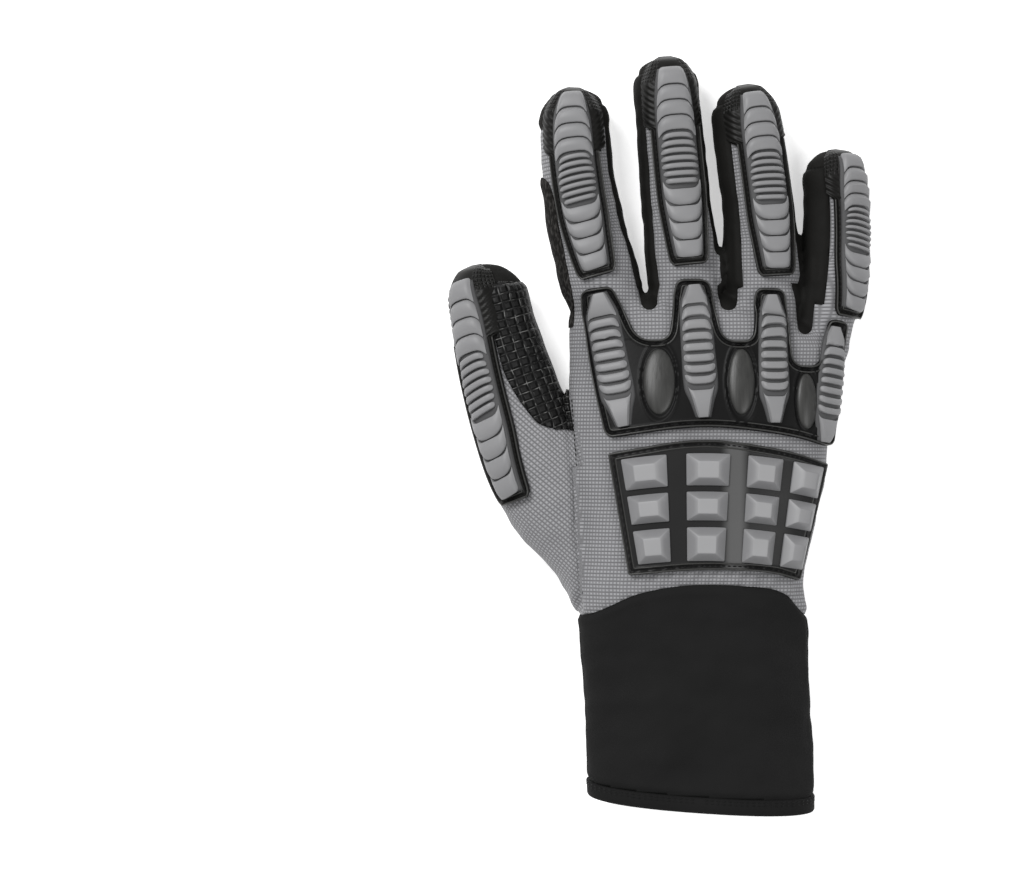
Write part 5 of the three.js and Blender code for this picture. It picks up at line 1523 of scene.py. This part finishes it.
# %% Grip patches
def outline_of(solid):
    """The outline of a solid's under side in millimetres, without the points that don't turn it."""
    made = solid.copy()
    made.data = solid.data.copy()
    bpy.context.scene.collection.objects.link(made)
    pick(made)
    bpy.ops.object.mode_set(mode="EDIT")
    bpy.ops.mesh.select_all(action="SELECT")
    bpy.ops.mesh.remove_doubles(threshold=0.002 * MM)
    bpy.ops.object.mode_set(mode="OBJECT")
    ways = {}
    for polygon in made.data.polygons:
        if polygon.normal.z < -0.5:
            for a, b in zip(polygon.vertices, [*polygon.vertices[1:], polygon.vertices[0]]):
                ways[a] = ways.get(a, []) + [b]
    ahead = {a: [b for b in ends if a not in ways.get(b, [])] for a, ends in ways.items()}
    ahead = {a: ends[0] for a, ends in ahead.items() if ends}
    here = first = next(iter(ahead))
    loop = []
    while here is not None:
        loop.append(here)
        here = ahead[here] if ahead[here] != first else None
    spots = points_of(made)[loop, :2] / MM
    bpy.data.objects.remove(made)
    before, after = spots - np.roll(spots, 1, axis=0), np.roll(spots, -1, axis=0) - spots
    turn = np.abs(before[:, 0] * after[:, 1] - before[:, 1] * after[:, 0])
    return spots[turn > 0.05 * np.hypot(*before.T) * np.hypot(*after.T)]


CORNER_ROUND, PRINT_RIM = 2, 2


def rimmed_patch(solid):
    """A thin glossy patch on the outline of its solid, with rounded corners. Its map counts in from the edge."""
    corners = [(a / HAND_WIDTH, b / HAND_LENGTH, CORNER_ROUND) for a, b in outline_of(solid)]
    line = rounded(corners, 0, 5)
    data, faces, edge = flat_cut(solid.name.replace("patch", "grip"), line, 0.7)
    under = [solid.ray_cast((a * MM, b * MM, -0.02), (0, 0, 1)) for a, b in data]
    level = np.array([place.z / MM if hit else np.nan for hit, place, _, _ in under])
    level = np.where(np.isnan(level), np.nanmean(level), level)
    level += 0.4 * (1 - smooth(0, 0.6, edge)) + 0.15 * smooth(PRINT_RIM - 0.1, PRINT_RIM + 0.4, edge)
    made = mesh_piece(solid.name.replace("patch", "grip"), np.column_stack([data, level]), faces,
                      np.stack([edge, edge], 1))
    face_up(made)
    made.data.flip_normals()
    apply(made, "SOLIDIFY", thickness=0.6 * MM, offset=-1)
    finish_piece(made, "gloss", "gloss_patch", solid.name, sharp=60)


for name in [name for name in nodes if "patch" in name and name not in ("index_side_patch", "thumb_heel_patch")]:
    rimmed_patch(nodes[name])

# %% Pull tab
low, high = [np.array(corner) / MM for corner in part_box("pull_tab")]
tab, u, v = grid("tab_webbing", 40, 90)
a, b = mix(low[0], high[0], (u + 1) / 2), mix(low[1], high[1], v)
wave = 0.25 * np.sin(b * 2 * math.pi / 3.3) * (1 - u**6) + 0.12 * np.sin(a * 2 * math.pi / 3.3)
move_points(tab, np.stack([a, b, low[2] + 0.35 + 0.2 * wave], 1))
map_piece(tab, np.stack([a, b], 1))
face_up(tab)
apply(tab, "SOLIDIFY", thickness=(high[2] - low[2] - 0.3) * MM, offset=1)
finish_piece(tab, "tab_cloth", "grid_grip", "pull_tab", sharp=60)
print("left as solids", sorted(name for name, solid in nodes.items() if not solid.hide_render))

# %% [markdown]
# ## Light and camera
# The photograph is a bright catalogue shot from straight above on white. A white floor, a white sky, a broad soft
# light from the upper left and a weaker one from the lower right give the same even look, with enough direction to
# shape the blocks.

# %% Stage
clear()
bpy.ops.mesh.primitive_plane_add(size=6, location=(0, 0, -0.0005))
floor = bpy.context.object
floor.name = "floor"
white, _, shader = new_material("white floor", 1)
shader["Base Color"].default_value = (0.95, 0.95, 0.95, 1)
shader["Emission Color"].default_value = (1, 1, 1, 1)
shader["Emission Strength"].default_value = 0.5
floor.data.materials.append(white)

world = bpy.data.worlds.new("sky")
world.use_nodes = True
world.node_tree.nodes["Background"].inputs["Color"].default_value = (1, 1, 1, 1)
world.node_tree.nodes["Background"].inputs["Strength"].default_value = 0.45
bpy.context.scene.world = world


def soft_light(name, place, size, power):
    clear()
    bpy.ops.object.light_add(type="AREA", location=place)
    lamp = bpy.context.object
    lamp.name = name
    lamp.data.shape, lamp.data.size, lamp.data.energy = "DISK", size, power
    aim = -lamp.location.normalized()
    lamp.rotation_euler = aim.to_track_quat("-Z", "Y").to_euler()


soft_light("window", (-0.8, 0.8, 1.2), 0.8, 23)
soft_light("fill", (0.8, -0.5, 1.3), 1, 10)

# the photograph's width in pixels, and what one of them spans on the glove in millimetres
PHOTO_WIDTH, PIXEL = 1024, 0.385
SENSOR_WIDTH, CAMERA_DISTANCE = 36, 1.2
camera = bpy.data.objects.new("camera", bpy.data.cameras.new("camera"))
bpy.context.scene.collection.objects.link(camera)
camera.location = (-0.0724, 0.0004, CAMERA_DISTANCE + 0.02)
camera.data.lens = SENSOR_WIDTH * CAMERA_DISTANCE / (PHOTO_WIDTH * PIXEL * MM)
camera.data.clip_end = 20
bpy.context.scene.camera = camera
bpy.context.scene.view_settings.view_transform = "Standard"
